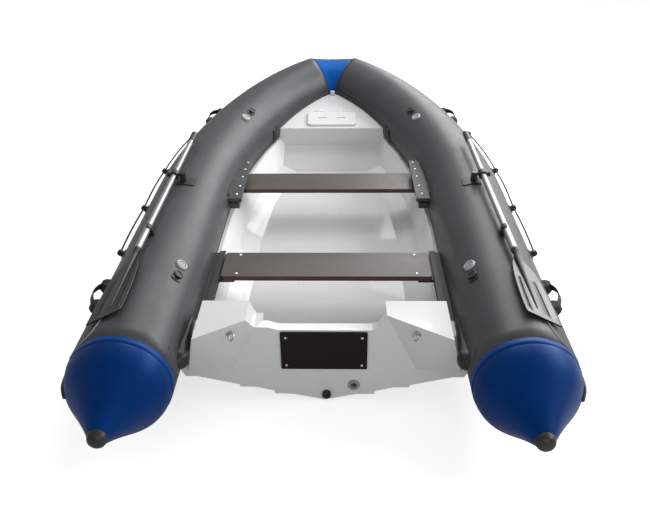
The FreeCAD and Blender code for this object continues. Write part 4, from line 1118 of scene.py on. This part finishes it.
def neck_rows(matrix):
    """The tapering ridge that runs on from the shaft over the blade."""
    rows = []
    for along, radius, height in NECK:
        row = []
        for degrees in ring_angles(NECK_STEPS):
            angle = math.radians(degrees)
            point = Vector((radius * math.cos(angle), height + radius * math.sin(angle), along))
            row.append(matrix @ (point / MILLIMETRES))
        rows.append(row)
    return rows


def darken_slots(board):
    """The dark material on the faces inside the two slots."""
    board.data.materials.append(MATERIALS["black_cord"])
    columns = len(blade_columns(0.5))
    for face in board.data.polygons:
        row, column = divmod(face.index, columns)
        inside = row < len(BLADE_SHARES) - 1 and SLOT_SPAN[0] < BLADE_SHARES[row] < SLOT_SPAN[1]
        if inside and column in SLOT_COLUMNS:
            face.material_index = 1


def blades():
    for name, side in SIDES:
        matrix = oar_frame(side)
        board = swept_mesh(f"blade_{name}", blade_rows(matrix), MATERIALS["blade_plastic"])
        weight_normals(board)
        darken_slots(board)
        neck = swept_mesh(f"blade_neck_{name}", neck_rows(matrix), MATERIALS["black_plastic"])
        for piece in (board, neck):
            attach(piece, f"oar_{name}")
            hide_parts(f"oar_blade_{name}")


blades()

# Strip and tab at the bow

STRIP_LOW = -97.0
STRIP_HIGH = -84.0
STRIP_START = 1.515
TAB_LEVEL = 0.296
# Stations of the tab, with the rise of its top
TAB_ROWS = ((1.404, 0.0), (1.405, 0.003), (1.409, 0.004), (1.421, 0.004), (1.425, 0.003), (1.426, 0.0))


def bow_strip():
    """The dark strip that follows both tubes on the inner side and meets under the bow section."""
    middle = (STRIP_LOW + STRIP_HIGH) / 2
    section = ((STRIP_LOW, 0.0004), (STRIP_LOW, 0.003), (middle, 0.0034), (STRIP_HIGH, 0.003),
               (STRIP_HIGH, 0.0004))
    rings = []
    for share in spaced(0.0, 1.0, 15):
        ring = []
        for degrees, lift in section:
            end = mitre_station(degrees, TUBE_RADIUS)
            ring.append(tube_point(STRIP_START + (end - STRIP_START) * share, degrees, TUBE_RADIUS + lift))
        rings.append(ring)
    whole = [[mirrored(point, -1) for point in ring] for ring in rings] + rings[::-1]
    strip = open_sheet("bow_strip", whole, MATERIALS["grey_rubber"])
    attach(strip, "boat")


def apex_tab():
    """The small moulded tab where the strip's two arms meet over the deck."""
    rows = []
    for y, rise in TAB_ROWS:
        outline = ((-0.015, 0.0), (-0.0145, 0.026 + rise), (-0.012, 0.028 + rise),
                   (0.012, 0.028 + rise), (0.0145, 0.026 + rise), (0.015, 0.0))
        rows.append([Vector((x, y, TAB_LEVEL + z)) for x, z in outline])
    tab = swept_mesh("apex_tab", rows, MATERIALS["white_gelcoat"])
    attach(tab, "boat")


bow_strip()
apex_tab()

# Carry handles

HANDLE_SPAN = 0.156
HANDLE_RISE = 0.040
HANDLE_ANGLE = 62
HANDLE_STATIONS = (("front", 0.845), ("rear", -1.062))
# The strap's section in millimetres: across, and down from its top
STRAP_SECTION = ((-16, 1), (-16, 4), (-14, 5), (14, 5), (16, 4), (16, 1), (14, 0), (-14, 0))
STRAP_SEAT = 0.010
END_HALF = 0.029
END_WIDTH = 0.022
END_HEIGHT = 0.029
END_RIBS = 5
END_SINK = 0.004
END_OVERLAP = 0.006
RIB_HEIGHT = 0.0016


def handle_frame(y, side):
    """A frame on the tube: X round it, Y along it, Z out of it."""
    return Matrix.Diagonal((side, 1, 1, 1)) @ skin_matrix(y, HANDLE_ANGLE)


def handle_strap(matrix):
    """Rings along the strap, which is bent in an arc between its ends."""
    half = HANDLE_SPAN / 2
    rise = HANDLE_RISE - STRAP_SEAT
    bend = (half * half + rise ** 2) / (2 * rise)
    reach = math.asin(half / bend)
    rows = []
    for share in spaced(-1.0, 1.0, 33):
        angle = reach * share
        row = []
        for across, down in STRAP_SECTION:
            radius = bend - down / MILLIMETRES
            height = HANDLE_RISE - bend + radius * math.cos(angle)
            row.append(matrix @ Vector((across / MILLIMETRES, radius * math.sin(angle), height)))
        rows.append(row)
    return rows


def handle_end(matrix, end):
    """A moulded end with ribs across it."""
    rows = []
    for along in spaced(-END_HALF, END_HALF, 41):
        row = []
        for across in spaced(-END_WIDTH, END_WIDTH, 13):
            dome = (1 - abs(along / END_HALF) ** 5) * (1 - abs(across / END_WIDTH) ** 6)
            ribs = RIB_HEIGHT * math.cos(along / (2 * END_HALF) * END_RIBS * 2 * math.pi)
            height = -END_SINK + dome * (END_HEIGHT + ribs)
            row.append(matrix @ Vector((across, end * (HANDLE_SPAN / 2 - END_OVERLAP) + along, height)))
        rows.append(row)
    return rows


def carry_handles():
    for name, side in SIDES:
        for spot, y in HANDLE_STATIONS:
            matrix = handle_frame(y, side)
            rows = handle_strap(matrix)
            pieces = [swept_mesh(f"handle_strap_{spot}_{name}", rows, MATERIALS["grey_rubber"])]
            for label, end in (("aft", -1), ("fore", 1)):
                rows = handle_end(matrix, end)
                pieces.append(open_sheet(f"handle_end_{spot}_{name}_{label}", rows, MATERIALS["black_cord"]))
            for piece in pieces:
                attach(piece, "boat")
                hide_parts(f"carry_handles_{name}")


carry_handles()

# Grab lines

LINE_DIAMETER = 0.008
LINE_ROUTE = (
    (0.803, 0.632, 0.331),
    (0.826, 0.530, 0.3275),
    (0.846, 0.424, 0.325),
    (0.8615, 0.320, 0.322),
    (0.872, 0.218, 0.319),
    (0.8785, 0.118, 0.3177),
    (0.8855, 0.010, 0.319),
    (0.8885, -0.098, 0.320),
    (0.8886, -0.206, 0.3185),
    (0.8876, -0.310, 0.3167),
    (0.8905, -0.418, 0.319),
    (0.8925, -0.526, 0.3195),
    (0.893, -0.634, 0.3185),
    (0.8908, -0.748, 0.3165),
)


def grab_line(name, side):
    data = bpy.data.curves.new(f"line_{name}", "CURVE")
    data.dimensions = "3D"
    data.bevel_depth = LINE_DIAMETER / 2
    data.bevel_resolution = 5
    data.resolution_u = 10
    data.use_fill_caps = True
    spline = data.splines.new("NURBS")
    spline.points.add(len(LINE_ROUTE) - 1)
    for point, (x, y, z) in zip(spline.points, LINE_ROUTE):
        point.co = (x * side, y, z, 1)
    spline.order_u = 3
    spline.use_endpoint_u = True
    data.materials.append(MATERIALS["black_cord"])
    line = bpy.data.objects.new(f"line_{name}", data)
    bpy.context.scene.collection.objects.link(line)
    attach(line, "boat")
    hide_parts(f"grab_line_{name}")


for side_name, side_sign in SIDES:
    grab_line(side_name, side_sign)
